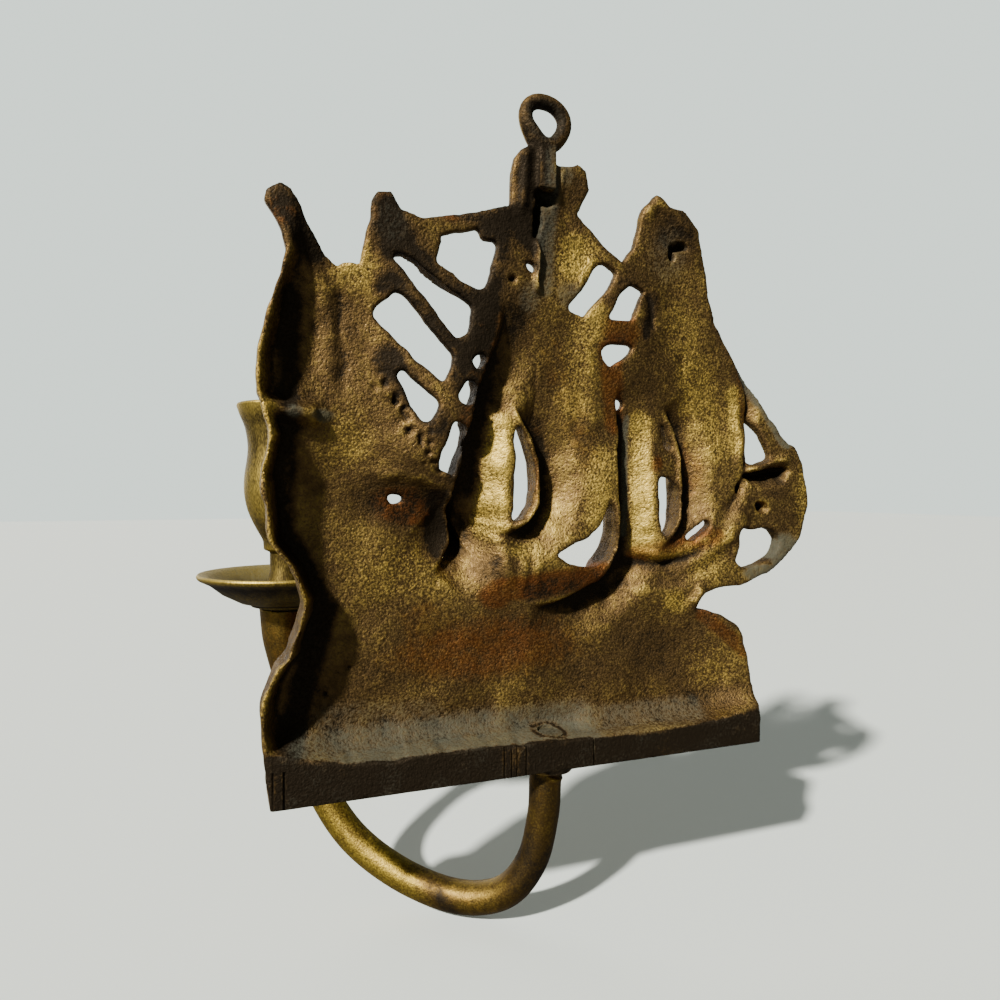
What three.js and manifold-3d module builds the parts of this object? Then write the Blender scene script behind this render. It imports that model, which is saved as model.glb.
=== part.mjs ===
// Cast brass galleon wall plaque with a swivelling candle arm.
// Millimetres, +Z up, the ship's front faces -Y, its stern is at +X.
// The origin is in the hole of the hanging ring, on the wall plane y = 0.

import * as THREE from 'three';
import { mergeVertices } from 'three/addons/utils/BufferGeometryUtils.js';
import Module from 'manifold-3d';

// Sizes

const sheet = 3.4;             // thickness of the cast metal
const rimLand = 1.4;           // flat width of the stern rim that meets the wall
const wallRun = 5;             // how far the stern wall slopes inwards
const riggingDepth = 3.4;      // depth of the bars and plain edges behind the wall plane

const base = { stern: 82.8, bow: -83.4, foot: -204, top: -194.4, deep: 18.5 };
const boss = { radius: 7.6, drop: 1.6 };
const ring = { rod: 2.3, deep: 2.2, steps: 20, sides: 8 };
const shank = { left: 1.6, right: -4.4, top: -4.6, end: -21, deep: 6.5 };

const pivot = { x: -5, y: -8, tenon: 3.6, bore: 3.9, head: 4.8, headTall: 0.6, gap: 0.3 };
const armTurn = 52;            // degrees between the arm and straight out from the wall
const armReach = 98.6;         // pivot to candle
const panRim = { z: -144.2, radius: 30.6 };
const cupTop = -83.5;

const rowStep = 6.3;
const slabEdge = { stern: 91, bow: -111, top: 6, foot: -205.5 };
const sides = { arm: 12, turned: 24 };

// Ship outline, [x, z]

const sternRim = [
  [84, -196], [85, -181], [84, -172], [80.4, -165], [76.4, -158], [73.2, -147], [76.5, -137], [82.5, -129],
  [83.5, -120], [84.8, -110], [82.3, -99], [86, -87], [85.6, -77], [82, -62], [77.6, -48],
];
const sternPeak = [
  [77.6, -48], [81, -38.6], [83.4, -32.6], [79.4, -29.8], [76.7, -31.1], [71.4, -40], [67.2, -46.4],
  [63, -49.6], [57.4, -49],
];
const mizzenPeak = [[56, -46.6], [53.6, -30.3], [51.8, -27.8], [47.8, -27.4], [44.6, -31.8], [38, -33.6]];
const yardToMast = [
  [22, -29.4], [10.2, -26.4], [9.2, -11.6], [7.2, -8.8], [4.4, -7.4], [2.6, -8], [-6, -12],
];
const mainTopsail = [[-12.5, -10.4], [-16.3, -12.6], [-17.2, -18], [-13.2, -25.4]];
const stay = [[-18.5, -29.8], [-24, -35.4]];
const foreTopsail = [
  [-30, -39.4], [-34.2, -34.4], [-36.2, -23.8], [-41.7, -16.4], [-46.4, -19.4], [-52.3, -20],
  [-58.8, -26.6], [-62, -37], [-64.5, -48], [-67, -56.4],
];
const forestay = [[-82, -76.5], [-96.4, -95.6]];
const bowScroll = [
  [-98.2, -98], [-103, -103], [-106, -112], [-107, -118.8], [-105.2, -127.6], [-101.4, -135.2],
  [-95, -141], [-87, -145.4], [-78, -148.6], [-68, -150], [-62.6, -152], [-61.6, -157],
];
const bowEdge = [[-65, -157.4], [-72.6, -160], [-78.4, -164.8], [-81, -173], [-82.8, -184], [-83.4, -194.4]];
const ringLine = [
  [0.6, -6.4], [3.4, -2.8], [5.4, 0.4], [5.2, 4], [2.8, 6.4], [-0.8, 7], [-4.6, 5.9], [-7.2, 3.2],
  [-7.6, 0], [-6.2, -3.2], [-3.4, -6],
];

const windows = {
  peak: [
    [32.6, -37.7], [20.2, -34.2], [19.3, -37.3], [14.2, -38], [15.4, -44], [18.6, -53.4], [34, -45.8],
    [33.1, -43.1],
  ],
  upperBar: [[47.2, -46], [44.6, -44.2], [22, -58.4], [23.4, -66], [27.2, -69], [29.2, -66.8]],
  middleBar: [
    [46.2, -55.8], [44.5, -55.8], [28.4, -73.9], [29.4, -77.8], [31.7, -82.1], [50.4, -65.6],
    [52.8, -63], [51.8, -60.8],
  ],
  lowerBar: [[46.2, -80.3], [43.8, -78.4], [32.6, -87.8], [33, -90.8], [35.3, -94.2], [38.4, -94.4]],
  lattice: [[22, -74.5], [19.5, -72.4], [17.3, -74], [20.2, -78]],
  diamond: [[24, -80.6], [20.3, -82.5], [22.1, -88.9], [27, -86.3]],
  shroud: [[27.8, -93.4], [23.6, -95.5], [24.4, -101.5], [27.3, -110.4], [32.2, -108.4]],
  slit: [[4.2, -42.4], [0.8, -43.4], [1.8, -46.4], [3.7, -45]],
  cabin: [[47.4, -116.2], [42.6, -116.4], [42.2, -119], [46.4, -119.4]],
  mainLeech: [
    [6, -95.4], [4, -94.2], [1.6, -100], [-0.4, -106.6], [-0.9, -113.4], [0.7, -120], [4, -124.4],
    [7.2, -124.8], [6.4, -105],
  ],
  mainFoot: [
    [-27.4, -118.8], [-29, -124], [-28.4, -132], [-25.2, -137.4], [-21.4, -139.2], [-12.6, -138],
    [-8.4, -135.6], [-19.6, -130.6], [-24.1, -126],
  ],
  topsailBay: [
    [-10.6, -55.2], [-15.8, -49.8], [-20.2, -42.2], [-23, -40.2], [-28, -43.2], [-25.8, -47.2],
    [-16.4, -58.4], [-11.6, -56.8],
  ],
  stayBay: [
    [-34, -46], [-39.2, -48], [-35.2, -53.4], [-34, -58.2], [-25, -58.4], [-28.4, -51],
  ],
  yardBay: [[-23, -68.4], [-26.4, -66.4], [-35.6, -66], [-34.6, -69], [-27.2, -74], [-23.6, -71.6]],
  foreNotch: [[-29.4, -84], [-33, -84.4], [-33.4, -87.4], [-30.4, -88]],
  foreLeechTop: [[-47.9, -91.9], [-49.9, -92.6], [-52.4, -99.1], [-50.4, -101.4]],
  foreLeech: [
    [-47, -110.6], [-51.4, -110.4], [-54.6, -113.7], [-55.2, -119], [-53.6, -125.3], [-49.6, -130.8],
    [-46.6, -120],
  ],
  foreFoot: [[-58, -131.6], [-60, -133.4], [-67, -127], [-65.4, -125.4]],
  jib: [[-82.2, -89.3], [-84.6, -91.1], [-90.8, -102.5], [-89.4, -105.2], [-82.9, -105.3]],
  scroll: [
    [-77.7, -129.7], [-79.9, -128.3], [-88.6, -128.1], [-93, -129.6], [-95.4, -133.3], [-93.2, -137.8],
    [-83, -142.5], [-76, -140.3], [-78.6, -134.3],
  ],
};

// Ship relief
// Every depth is measured forwards from the wall plane to the back of the metal.

const wells = [
  // hull, stern, mizzen sail, the pocket by the cabin, and the tuck under the main course
  { at: [11, -180], half: [114, 57], turn: 0.18, deep: 13.3, soft: 0.47, skew: 0.17, power: 4 },
  { at: [54, -130], half: [46, 56], turn: -0.4, deep: 11.8, soft: 0.63, skew: 0.39, power: 3 },
  { at: [66, -73], half: [40, 51], turn: -0.18, deep: 8.3, soft: 0.71, skew: 0.3, power: 2 },
  { at: [33, -117], half: [14, 8], turn: -0.4, deep: 6.7, soft: 0.43, skew: 0.18, power: 3 },
  { at: [-10, -143], half: [56, 33], turn: 0.4, deep: 8.1, soft: 0.2, skew: -0.06, power: 3 },
  // luff and belly of the main course, then the fore course
  { at: [1, -86], half: [31, 46], turn: 0.24, deep: 8.8, soft: 0.74, skew: -0.3, power: 2.5 },
  { at: [-15, -102], half: [33, 54], turn: 0.4, deep: 9.7, soft: 0.79, skew: 0.25, power: 3 },
  { at: [-52, -97], half: [34, 52], turn: 0.46, deep: 8.3, soft: 0.6, skew: 0, power: 3 },
  // main and fore topsails, and the bow scroll
  { at: [-3, -53], half: [25, 40], turn: 0.51, deep: 4.6, soft: 0.49, skew: -0.1, power: 2.5 },
  { at: [-45, -58], half: [29, 43], turn: 0.39, deep: 5.3, soft: 0.57, skew: -0.2, power: 2.5 },
  { at: [-72, -123], half: [22, 38], turn: 0.25, deep: 5.9, soft: 0.2, skew: 0.3, power: 2.5 },
];

// Steps in the hollow. The metal drops from a crest, [x, z, drop], stays low over the flat and has come
// back at the run. It drops towards the bow from a crest drawn downwards where low is 1, and the other
// way where it is -1.
const scarps = {
  mast: {
    flat: 2, run: 17, low: 1,
    crest: [
      [12, -56, 0], [15, -71.4, 3.4], [20.7, -87.1, 6.4], [23, -96.3, 7], [25.3, -108.6, 7.4],
      [28.3, -121, 7], [29.6, -134, 0],
    ],
  },
  cabin: {
    flat: 4, run: 19, low: -1,
    crest: [[60, -113.4, 0], [44.5, -112, 1.4], [32, -115.6, 2.8], [26, -122, 4]],
  },
  mainLeech: {
    flat: 2.4, run: 15, low: 1,
    crest: [
      [6.2, -89.8, 0], [1.3, -96, 3], [-2.8, -108.2, 5], [-2.9, -114.8, 5.2], [0.6, -123.8, 5],
      [5.6, -127.8, 3], [12.4, -129.4, 0],
    ],
  },
  mainFoot: {
    flat: 3.4, run: 13, low: -1,
    crest: [
      [0.8, -152, 0], [-11, -149.4, 4.8], [-17.6, -146.6, 6], [-24, -142.8, 7], [-28.6, -137.4, 7.2],
      [-30.8, -131.5, 6.6], [-31.3, -114.8, 5.4], [-31.2, -94.7, 3.6], [-30, -78, 0],
    ],
  },
  foreLeech: {
    flat: 2.6, run: 13, low: 1,
    crest: [
      [-48.5, -85.4, 0], [-54.1, -97.4, 4], [-56.4, -114.8, 5], [-54, -128.7, 3.4], [-45.4, -135.4, 0],
    ],
  },
  foreFoot: {
    flat: 2, run: 12, low: -1,
    crest: [
      [-34.8, -135.7, 0], [-40.4, -138.3, 2.6], [-50, -138.9, 4.2], [-59.7, -136.4, 2.8], [-72, -125, 0],
    ],
  },
  sprit: {
    flat: 0, run: 6, low: -1,
    crest: [[-80.6, -110.4, 0], [-82, -109, 4], [-96.6, -106.8, 4], [-99, -107.4, 0]],
  },
};
const lip = { upright: 0.8, level: 2.6 };   // half the width of a step, down a crest and across one

// The plain front: a hull that stands proud between its rail and the waterline, over rolling waves.
const hullBand = { rail: -139, sheer: 0.0015, midship: 8, proud: 2.2, blend: 7 };
const waves = { top: -171, tall: 2.6, length: 27, lean: 1.1, blend: 12 };

// Helpers

const wasm = await Module();
wasm.setup();

const { smoothstep, clamp, lerp, degToRad } = THREE.MathUtils;

function toSolid(geometry) {
  const bare = geometry.index ? geometry.clone() : geometry;
  bare.deleteAttribute('normal');
  bare.deleteAttribute('uv');
  const merged = mergeVertices(bare, 1e-4);
  return new wasm.Manifold(new wasm.Mesh({
    numProp: 3,
    vertProperties: new Float32Array(merged.attributes.position.array),
    triVerts: new Uint32Array(merged.index.array),
  }));
}

function toGeometry(solid) {
  const mesh = solid.getMesh();
  const geometry = new THREE.BufferGeometry();
  geometry.setAttribute('position', new THREE.BufferAttribute(mesh.vertProperties, 3));
  geometry.setIndex(new THREE.BufferAttribute(mesh.triVerts, 1));
  return geometry;
}

// The nearest point of a crest, the side of it that [x, z] is on, and how level the crest is there.
function nearestOn(crest, x, z) {
  let nearest = { distance: Infinity };
  for (let i = 1; i < crest.length; i++) {
    const [ax, az, from] = crest[i - 1];
    const [bx, bz, to] = crest[i];
    const length = Math.hypot(bx - ax, bz - az);
    const t = clamp(((x - ax) * (bx - ax) + (z - az) * (bz - az)) / length ** 2, 0, 1);
    const distance = Math.hypot(x - lerp(ax, bx, t), z - lerp(az, bz, t));
    if (distance < nearest.distance) {
      const side = Math.sign((x - ax) * (bz - az) - (z - az) * (bx - ax));
      nearest = { distance, side, drop: lerp(from, to, t), level: Math.abs(bx - ax) / length };
    }
  }
  return nearest;
}

// A line of points [x, z] read as x at a height z.
function lineAt(line, z) {
  for (let i = 1; i < line.length; i++) {
    const [ax, az] = line[i - 1];
    const [bx, bz] = line[i];
    if (z <= bz || i === line.length - 1) return lerp(ax, bx, clamp((z - az) / (bz - az), 0, 1));
  }
  return line[0][0];
}

function softMax(a, b, blend = 2.5) {
  const near = Math.max(blend - Math.abs(a - b), 0);
  return Math.max(a, b) + near * near / (4 * blend);
}

function wellDepth(x, z, { at, half, turn = 0, deep, soft, skew, power }) {
  const dx = x - at[0];
  const dz = z - at[1];
  const u = (dx * Math.cos(turn) + dz * Math.sin(turn)) / half[0];
  const v = (dz * Math.cos(turn) - dx * Math.sin(turn)) / half[1];
  const r = (Math.abs(u) ** power + Math.abs(v) ** power) ** (1 / power);
  return deep * (1 + skew * clamp(u, -1, 1)) * (1 - smoothstep(r, 1 - soft, 1));
}

// Plaque

function scarpDrop(x, z, { crest, flat, run, low }) {
  const { distance, side, drop, level } = nearestOn(crest, x, z);
  const down = distance * side * low;
  const half = lerp(lip.upright, lip.level, level);
  return drop * smoothstep(down, -half, half) * (1 - smoothstep(down, Math.max(flat, half), run));
}

function backDepth(x, z) {
  let depth = riggingDepth;
  for (const well of wells) depth = softMax(depth, wellDepth(x, z, well));
  for (const scarp of Object.values(scarps)) depth += scarpDrop(x, z, scarp);
  const inside = lineAt(sternRim, z) - rimLand - x;
  return depth * smoothstep(inside, 0, wallRun);
}

function frontRelief(x, z) {
  const rail = hullBand.rail + hullBand.sheer * (x - hullBand.midship) ** 2;
  const hull = smoothstep(rail - z, 0, hullBand.blend) * (1 - smoothstep(waves.top - z, -hullBand.blend, 0));
  const swell = 0.5 + 0.5 * Math.sin((x + waves.lean * z) * 2 * Math.PI / waves.length);
  return hullBand.proud * hull + waves.tall * swell * smoothstep(waves.top - z, 0, waves.blend);
}

// The front keeps the sheet's thickness square to the back surface.
function frontDepth(x, z) {
  let depth = backDepth(x, z) + sheet;
  for (const reach of [0.55, 0.9]) {
    for (let k = 0; k < 12; k++) {
      const angle = k * Math.PI / 6;
      const step = reach * sheet;
      const rise = sheet * Math.sqrt(1 - reach * reach);
      depth = Math.max(depth, backDepth(x + step * Math.cos(angle), z + step * Math.sin(angle)) + rise);
    }
  }
  return depth + frontRelief(x, z);
}

// Grid columns follow the stern rim and, in pairs, the upright crests.
const upwards = (crest) => [...crest].reverse();
const crestLines = [
  { line: upwards(scarps.mast.crest), steps: 5 },
  { line: upwards(scarps.mainLeech.crest).slice(2), steps: 5 },
  { line: scarps.mainFoot.crest.slice(4), steps: 4 },
  { line: upwards(scarps.foreLeech.crest).slice(1), steps: 11 },
];

function columnLines(z) {
  const rim = lineAt(sternRim, z) - rimLand;
  return [
    { x: slabEdge.stern, steps: 1 },
    { x: rim, steps: 3 },
    { x: rim - wallRun, steps: 10 },
    ...crestLines.flatMap(({ line, steps }) => [
      { x: lineAt(line, z) + lip.upright, steps: 1 },
      { x: lineAt(line, z) - lip.upright, steps },
    ]),
    { x: slabEdge.bow, steps: 0 },
  ];
}

function columnsAt(z) {
  const lines = columnLines(z);
  const xs = [];
  for (let i = 0; i < lines.length - 1; i++) {
    for (let k = 0; k < lines[i].steps; k++) xs.push(lerp(lines[i].x, lines[i + 1].x, k / lines[i].steps));
  }
  return [...xs, slabEdge.bow];
}

function reliefSlab() {
  const rows = Math.ceil((slabEdge.top - slabEdge.foot) / rowStep);
  const columns = columnsAt(0).length - 1;
  const points = [];
  const faces = [];
  const count = (columns + 1) * (rows + 1);
  const index = (i, j, side) => side * count + j * (columns + 1) + i;
  for (const depthAt of [backDepth, frontDepth]) {
    for (let j = 0; j <= rows; j++) {
      const z = slabEdge.foot + j * rowStep;
      for (const x of columnsAt(z)) points.push(x, -depthAt(x, z), z);
    }
  }
  const quad = (a, b, c, d) => faces.push(a, b, c, a, c, d);
  for (let j = 0; j < rows; j++) {
    for (let i = 0; i < columns; i++) {
      quad(index(i, j, 0), index(i + 1, j, 0), index(i + 1, j + 1, 0), index(i, j + 1, 0));
      quad(index(i, j, 1), index(i, j + 1, 1), index(i + 1, j + 1, 1), index(i + 1, j, 1));
    }
  }
  for (let i = 0; i < columns; i++) {
    quad(index(i, 0, 0), index(i, 0, 1), index(i + 1, 0, 1), index(i + 1, 0, 0));
    quad(index(i + 1, rows, 0), index(i + 1, rows, 1), index(i, rows, 1), index(i, rows, 0));
  }
  for (let j = 0; j < rows; j++) {
    quad(index(0, j + 1, 0), index(0, j + 1, 1), index(0, j, 1), index(0, j, 0));
    quad(index(columns, j, 0), index(columns, j, 1), index(columns, j + 1, 1), index(columns, j + 1, 0));
  }
  const geometry = new THREE.BufferGeometry();
  geometry.setAttribute('position', new THREE.Float32BufferAttribute(points, 3));
  geometry.setIndex(faces);
  return toSolid(geometry);
}

const vectors = (points) => points.map(([x, z]) => new THREE.Vector2(x, z));

function shipOutline() {
  const shape = new THREE.Shape();
  shape.moveTo(...sternRim[0]);
  shape.splineThru(vectors(sternRim.slice(1)));
  shape.splineThru(vectors(sternPeak.slice(1)));
  shape.lineTo(...mizzenPeak[0]);
  shape.splineThru(vectors(mizzenPeak.slice(1)));
  for (const point of [...yardToMast, ...mainTopsail, ...stay]) shape.lineTo(...point);
  shape.splineThru(vectors(foreTopsail.slice(1)));
  for (const point of forestay) shape.lineTo(...point);
  shape.lineTo(...bowScroll[0]);
  shape.splineThru(vectors(bowScroll.slice(1)));
  shape.lineTo(...bowEdge[0]);
  shape.splineThru(vectors(bowEdge.slice(1)));
  shape.lineTo(base.bow, base.foot + 1);
  shape.lineTo(base.stern, base.foot + 1);
  for (const points of Object.values(windows)) shape.holes.push(new THREE.Path(vectors(points)));
  return shape;
}

// Pushes a shape drawn in x and z forwards through the plaque.
function cutter(shape, from, to) {
  const options = { depth: to - from, bevelEnabled: false, curveSegments: 1 };
  const geometry = new THREE.ExtrudeGeometry(shape, options);
  geometry.rotateX(Math.PI / 2);
  geometry.translate(0, -from, 0);
  return toSolid(geometry);
}

function box(x0, x1, y0, y1, z0, z1) {
  const geometry = new THREE.BoxGeometry(x1 - x0, y1 - y0, z1 - z0);
  geometry.translate((x0 + x1) / 2, (y0 + y1) / 2, (z0 + z1) / 2);
  return toSolid(geometry);
}

function upright(radius, z0, z1, x = pivot.x, y = pivot.y, count = 16) {
  const geometry = new THREE.CylinderGeometry(radius, radius, z1 - z0, count);
  geometry.rotateX(Math.PI / 2);
  geometry.translate(x, y, (z0 + z1) / 2);
  return toSolid(geometry);
}

function hangingRing() {
  const places = ringLine.map(([x, z]) => new THREE.Vector3(x, -ring.deep, z));
  const line = new THREE.CatmullRomCurve3(places, true);
  const loop = new THREE.TubeGeometry(line, ring.steps, ring.rod, ring.sides, true);
  return toSolid(loop).add(box(shank.right, shank.left, -shank.deep, 0, shank.end, shank.top));
}

function makePlaque() {
  const ship = reliefSlab().intersect(cutter(shipOutline(), -1, 40));
  const shelf = box(base.bow, base.stern, -base.deep, 0, base.foot, base.top);
  const lug = upright(boss.radius, base.foot - boss.drop, base.foot + 2);
  const bore = upright(pivot.bore, base.foot - 10, base.top + 10);
  return toGeometry(ship.add(shelf).add(lug).add(hangingRing()).subtract(bore));
}

// Candle arm

// Out along the arm and up from the foot of the base, with the rod's radius there.
const armRoute = [
  { out: 0, up: -1.9, radius: 5.3 }, { out: 0.8, up: -17, radius: 5.2 },
  { out: 5.4, up: -33, radius: 5.2 }, { out: 15.6, up: -44.8, radius: 5.3 },
  { out: 32, up: -48.8, radius: 5.4 }, { out: 52.5, up: -44.6, radius: 5.4 },
  { out: 71.5, up: -34, radius: 5.4 }, { out: 84.5, up: -18, radius: 5.3 },
  { out: 92.6, up: 1, radius: 5.2 }, { out: 97.2, up: 20, radius: 5.6 },
  { out: armReach, up: 35, radius: 8.2 }, { out: armReach, up: 46.5, radius: 9.4 },
];

const turn = degToRad(armTurn);
const armPoint = (out, z) => new THREE.Vector3(
  pivot.x + out * Math.sin(turn), pivot.y - out * Math.cos(turn), z);

function roundSweep(curve, radiusAt, steps, count) {
  const frames = curve.computeFrenetFrames(steps, false);
  const points = [];
  const faces = [];
  for (let i = 0; i <= steps; i++) {
    const centre = curve.getPointAt(i / steps);
    for (let k = 0; k < count; k++) {
      const angle = 2 * Math.PI * k / count;
      const spoke = frames.normals[i].clone().multiplyScalar(Math.cos(angle))
        .addScaledVector(frames.binormals[i], Math.sin(angle));
      points.push(...centre.clone().addScaledVector(spoke, radiusAt(i / steps)).toArray());
    }
  }
  for (let i = 0; i < steps; i++) {
    for (let k = 0; k < count; k++) {
      const a = i * count + k;
      const b = i * count + (k + 1) % count;
      faces.push(a, b, b + count, a, b + count, a + count);
    }
  }
  for (let k = 1; k < count - 1; k++) {
    faces.push(0, k + 1, k);
    const last = steps * count;
    faces.push(last, last + k, last + k + 1);
  }
  const geometry = new THREE.BufferGeometry();
  geometry.setAttribute('position', new THREE.Float32BufferAttribute(points, 3));
  geometry.setIndex(faces);
  return toSolid(geometry);
}

function makeArm() {
  const curve = new THREE.CatmullRomCurve3(armRoute.map(({ out, up }) => armPoint(out, base.foot + up)));
  const radii = new THREE.CatmullRomCurve3(armRoute.map(({ radius }, i) => new THREE.Vector3(i, radius, 0)));
  const last = armRoute.length - 1;
  const radiusAt = (t) => radii.getPoint(clamp(curve.getUtoTmapping(t), 0, 1)).y;
  const rod = roundSweep(curve, radiusAt, 3 * last, sides.arm);
  const tenon = upright(pivot.tenon, base.foot - boss.drop - 3, base.top + pivot.gap + 0.1);
  const headFoot = base.top + pivot.gap;
  return toGeometry(rod.add(tenon).add(upright(pivot.head, headFoot, headFoot + pivot.headTall)));
}

// Turned pieces

function turned(profile) {
  const geometry = new THREE.LatheGeometry(vectors(profile), sides.turned);
  geometry.rotateX(Math.PI / 2);
  geometry.translate(armPoint(armReach, 0).x, armPoint(armReach, 0).y, 0);
  return toGeometry(toSolid(geometry));
}

function makePan() {
  const { z, radius } = panRim;
  return turned([
    // underside, from the middle out
    [0, z - 13], [9.4, z - 13], [12.2, z - 12.2], [12.4, z - 11.6], [16, z - 10.6], [22, z - 7.4],
    [26.4, z - 3.8], [radius - 0.6, z - 2], [radius, z - 1],
    // dish, back to the middle
    [radius - 0.6, z], [26.6, z - 1.4], [22, z - 5], [16, z - 8.2], [9, z - 9.6], [0, z - 9.8],
  ]);
}

function makeCup() {
  const z = cupTop;
  return turned([
    // foot, stem and collar
    [0, z - 70.2], [7.6, z - 70.2], [6.8, z - 66], [5.6, z - 60], [5.6, z - 53.6], [7.7, z - 52.6],
    // tulip body and lip
    [7.9, z - 49.4], [11, z - 43.8], [13.7, z - 38.2], [14.6, z - 29.8], [13.8, z - 23.6], [13, z - 15.4],
    [14.4, z - 7.4], [16.5, z - 3], [16.8, z - 0.6], [16.2, z],
    // socket for the candle
    [14.8, z - 0.8], [12.4, z - 7], [11.2, z - 13], [11.2, z - 39.6], [10.2, z - 41], [0, z - 41],
  ]);
}

// Assembly

function brass(color, roughness) {
  return new THREE.MeshStandardMaterial({ color, roughness, metalness: 1 });
}

function part(name, geometry, material) {
  const mesh = new THREE.Mesh(geometry, material);
  mesh.name = name;
  return mesh;
}

const holder = new THREE.Group();
holder.add(part('galleon_plaque', makePlaque(), brass(0x6f5527, 0.48)));
holder.add(part('candle_arm', makeArm(), brass(0x9a7a30, 0.38)));
holder.add(part('drip_pan', makePan(), brass(0xa8873c, 0.34)));
holder.add(part('candle_cup', makeCup(), brass(0xa58439, 0.34)));

export default holder;
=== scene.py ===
import math

import bpy
import numpy as np
from mathutils import Matrix, Vector


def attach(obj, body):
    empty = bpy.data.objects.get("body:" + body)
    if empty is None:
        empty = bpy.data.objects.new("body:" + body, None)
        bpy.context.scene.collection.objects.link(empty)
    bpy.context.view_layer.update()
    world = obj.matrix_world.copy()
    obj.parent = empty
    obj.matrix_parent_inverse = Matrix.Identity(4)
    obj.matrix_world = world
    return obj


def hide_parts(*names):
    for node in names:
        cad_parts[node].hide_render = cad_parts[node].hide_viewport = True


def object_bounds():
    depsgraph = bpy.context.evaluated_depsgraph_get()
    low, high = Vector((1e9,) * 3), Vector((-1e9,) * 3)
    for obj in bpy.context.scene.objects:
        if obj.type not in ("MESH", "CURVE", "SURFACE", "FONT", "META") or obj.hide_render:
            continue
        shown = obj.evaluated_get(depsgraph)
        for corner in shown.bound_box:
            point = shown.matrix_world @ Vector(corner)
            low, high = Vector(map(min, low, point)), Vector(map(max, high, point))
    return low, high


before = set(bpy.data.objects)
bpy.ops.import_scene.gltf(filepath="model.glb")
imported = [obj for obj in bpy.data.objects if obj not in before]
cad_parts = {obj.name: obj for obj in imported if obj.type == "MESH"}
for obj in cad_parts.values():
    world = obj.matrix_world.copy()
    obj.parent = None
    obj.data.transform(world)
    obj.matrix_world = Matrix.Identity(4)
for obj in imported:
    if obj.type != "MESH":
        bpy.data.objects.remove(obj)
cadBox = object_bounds()
mm = 0.001   # relief and profiles are worked out in millimetres

camera = {
    "place": (0.0957, 0.2151, -0.1152),
    "ahead": (-0.3512, -0.9363, -0.0115),
    "upright": (-0.0047, -0.0105, 1.0),
    "lens": 27.04,
    "sensor": 36.0,
}

studio = {
    "floorGap": 0.0015,
    "floorSize": 8.0,
    "floorColor": (0.75, 0.815, 0.785, 1),
    "floorBounce": (0.10, 0.10, 0.10, 1),
    "keyFrom": (0.646, 0.471, 0.598),
    "keySoftness": 3.2,       # degrees across
    "keyStrength": 8.3,
    "keyColor": (1.0, 0.96, 0.88),
    "fillFrom": (0.25, -0.92, 0.3),
    "fillSoftness": 60,
    "fillStrength": 1.6,
    "skyColor": (0.84, 0.95, 0.88, 1),
    "skyStrength": 0.12,
    "skySeen": 1.42,
}


def addObject(name, data):
    holder = bpy.data.objects.new(name, data)
    bpy.context.scene.collection.objects.link(holder)
    return holder


def placeCamera():
    data = bpy.data.cameras.new("studioCamera")
    data.sensor_width = camera["sensor"]
    data.lens = camera["lens"]
    data.clip_start = 0.01
    data.clip_end = 50
    holder = addObject("studioCamera", data)
    back = -Vector(camera["ahead"]).normalized()
    right = Vector(camera["upright"]).cross(back).normalized()
    up = back.cross(right)
    turn = Matrix((right, up, back)).transposed().to_4x4()
    holder.matrix_world = Matrix.Translation(camera["place"]) @ turn
    bpy.context.scene.camera = holder


placeCamera()
print("camera placed")


# Handling of meshes

def pickOnly(piece):
    bpy.ops.object.select_all(action="DESELECT")
    piece.select_set(True)
    bpy.context.view_layer.objects.active = piece


def finishWith(piece, kind, **settings):
    pickOnly(piece)
    bpy.ops.object.modifier_add(type=kind)
    modifier = piece.modifiers[-1]
    for name, value in settings.items():
        setattr(modifier, name, value)
    bpy.ops.object.modifier_apply(modifier=modifier.name)


def nameActive(name):
    piece = bpy.context.active_object
    piece.name = name
    piece.data.name = name
    return piece


def settle(piece):
    pickOnly(piece)
    bpy.ops.object.transform_apply(location=True, rotation=True, scale=True)


def inEditMode(piece, work):
    pickOnly(piece)
    bpy.ops.object.mode_set(mode="EDIT")
    bpy.ops.mesh.select_all(action="SELECT")
    work()
    bpy.ops.object.mode_set(mode="OBJECT")


def closeSeams(gap=1e-6):
    bpy.ops.mesh.remove_doubles(threshold=gap)
    bpy.ops.mesh.normals_make_consistent(inside=False)


def weld(piece, others):
    for other in others:
        settle(other)
    pickOnly(piece)
    for other in others:
        other.select_set(True)
    bpy.ops.object.join()


def cutWith(piece, tool, operation):
    finishWith(piece, "BOOLEAN", object=tool, operation=operation, solver="MANIFOLD")
    bpy.data.objects.remove(tool)


def readPoints(piece, kind="co"):
    values = np.empty(len(piece.data.vertices) * 3)
    piece.data.vertices.foreach_get(kind, values)
    return values.reshape(-1, 3)


def writePoints(piece, points):
    piece.data.vertices.foreach_set("co", points.ravel())
    piece.data.update()


def triangleCount(piece):
    return sum(len(face.vertices) - 2 for face in piece.data.polygons)


def writeMasks(piece, **masks):
    for name, values in masks.items():
        layer = piece.data.attributes.new(name, "FLOAT", "POINT")
        layer.data.foreach_set("value", np.clip(values, 0, 1).astype(np.float32))


# Curves and soft steps

def softStep(value, start, end):
    t = np.clip((value - start) / (end - start), 0, 1)
    return t * t * (3 - 2 * t)


def fade(value, start, end):
    return 1 - softStep(value, start, end)


# Slow hand-made unevenness between -1 and 1, a lump to every size millimetres
def drift(x, z, size, seed):
    cells = 128
    lattice = np.random.default_rng(seed).uniform(-1, 1, (cells, cells))
    u, v = x / size + cells, z / size + cells
    i, j = np.floor(u).astype(int), np.floor(v).astype(int)
    f, g = softStep(u - i, 0, 1), softStep(v - j, 0, 1)
    low = lattice[i % cells, j % cells] * (1 - f) + lattice[(i + 1) % cells, j % cells] * f
    high = lattice[i % cells, (j + 1) % cells] * (1 - f) + lattice[(i + 1) % cells, (j + 1) % cells] * f
    return low * (1 - g) + high * g


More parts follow.
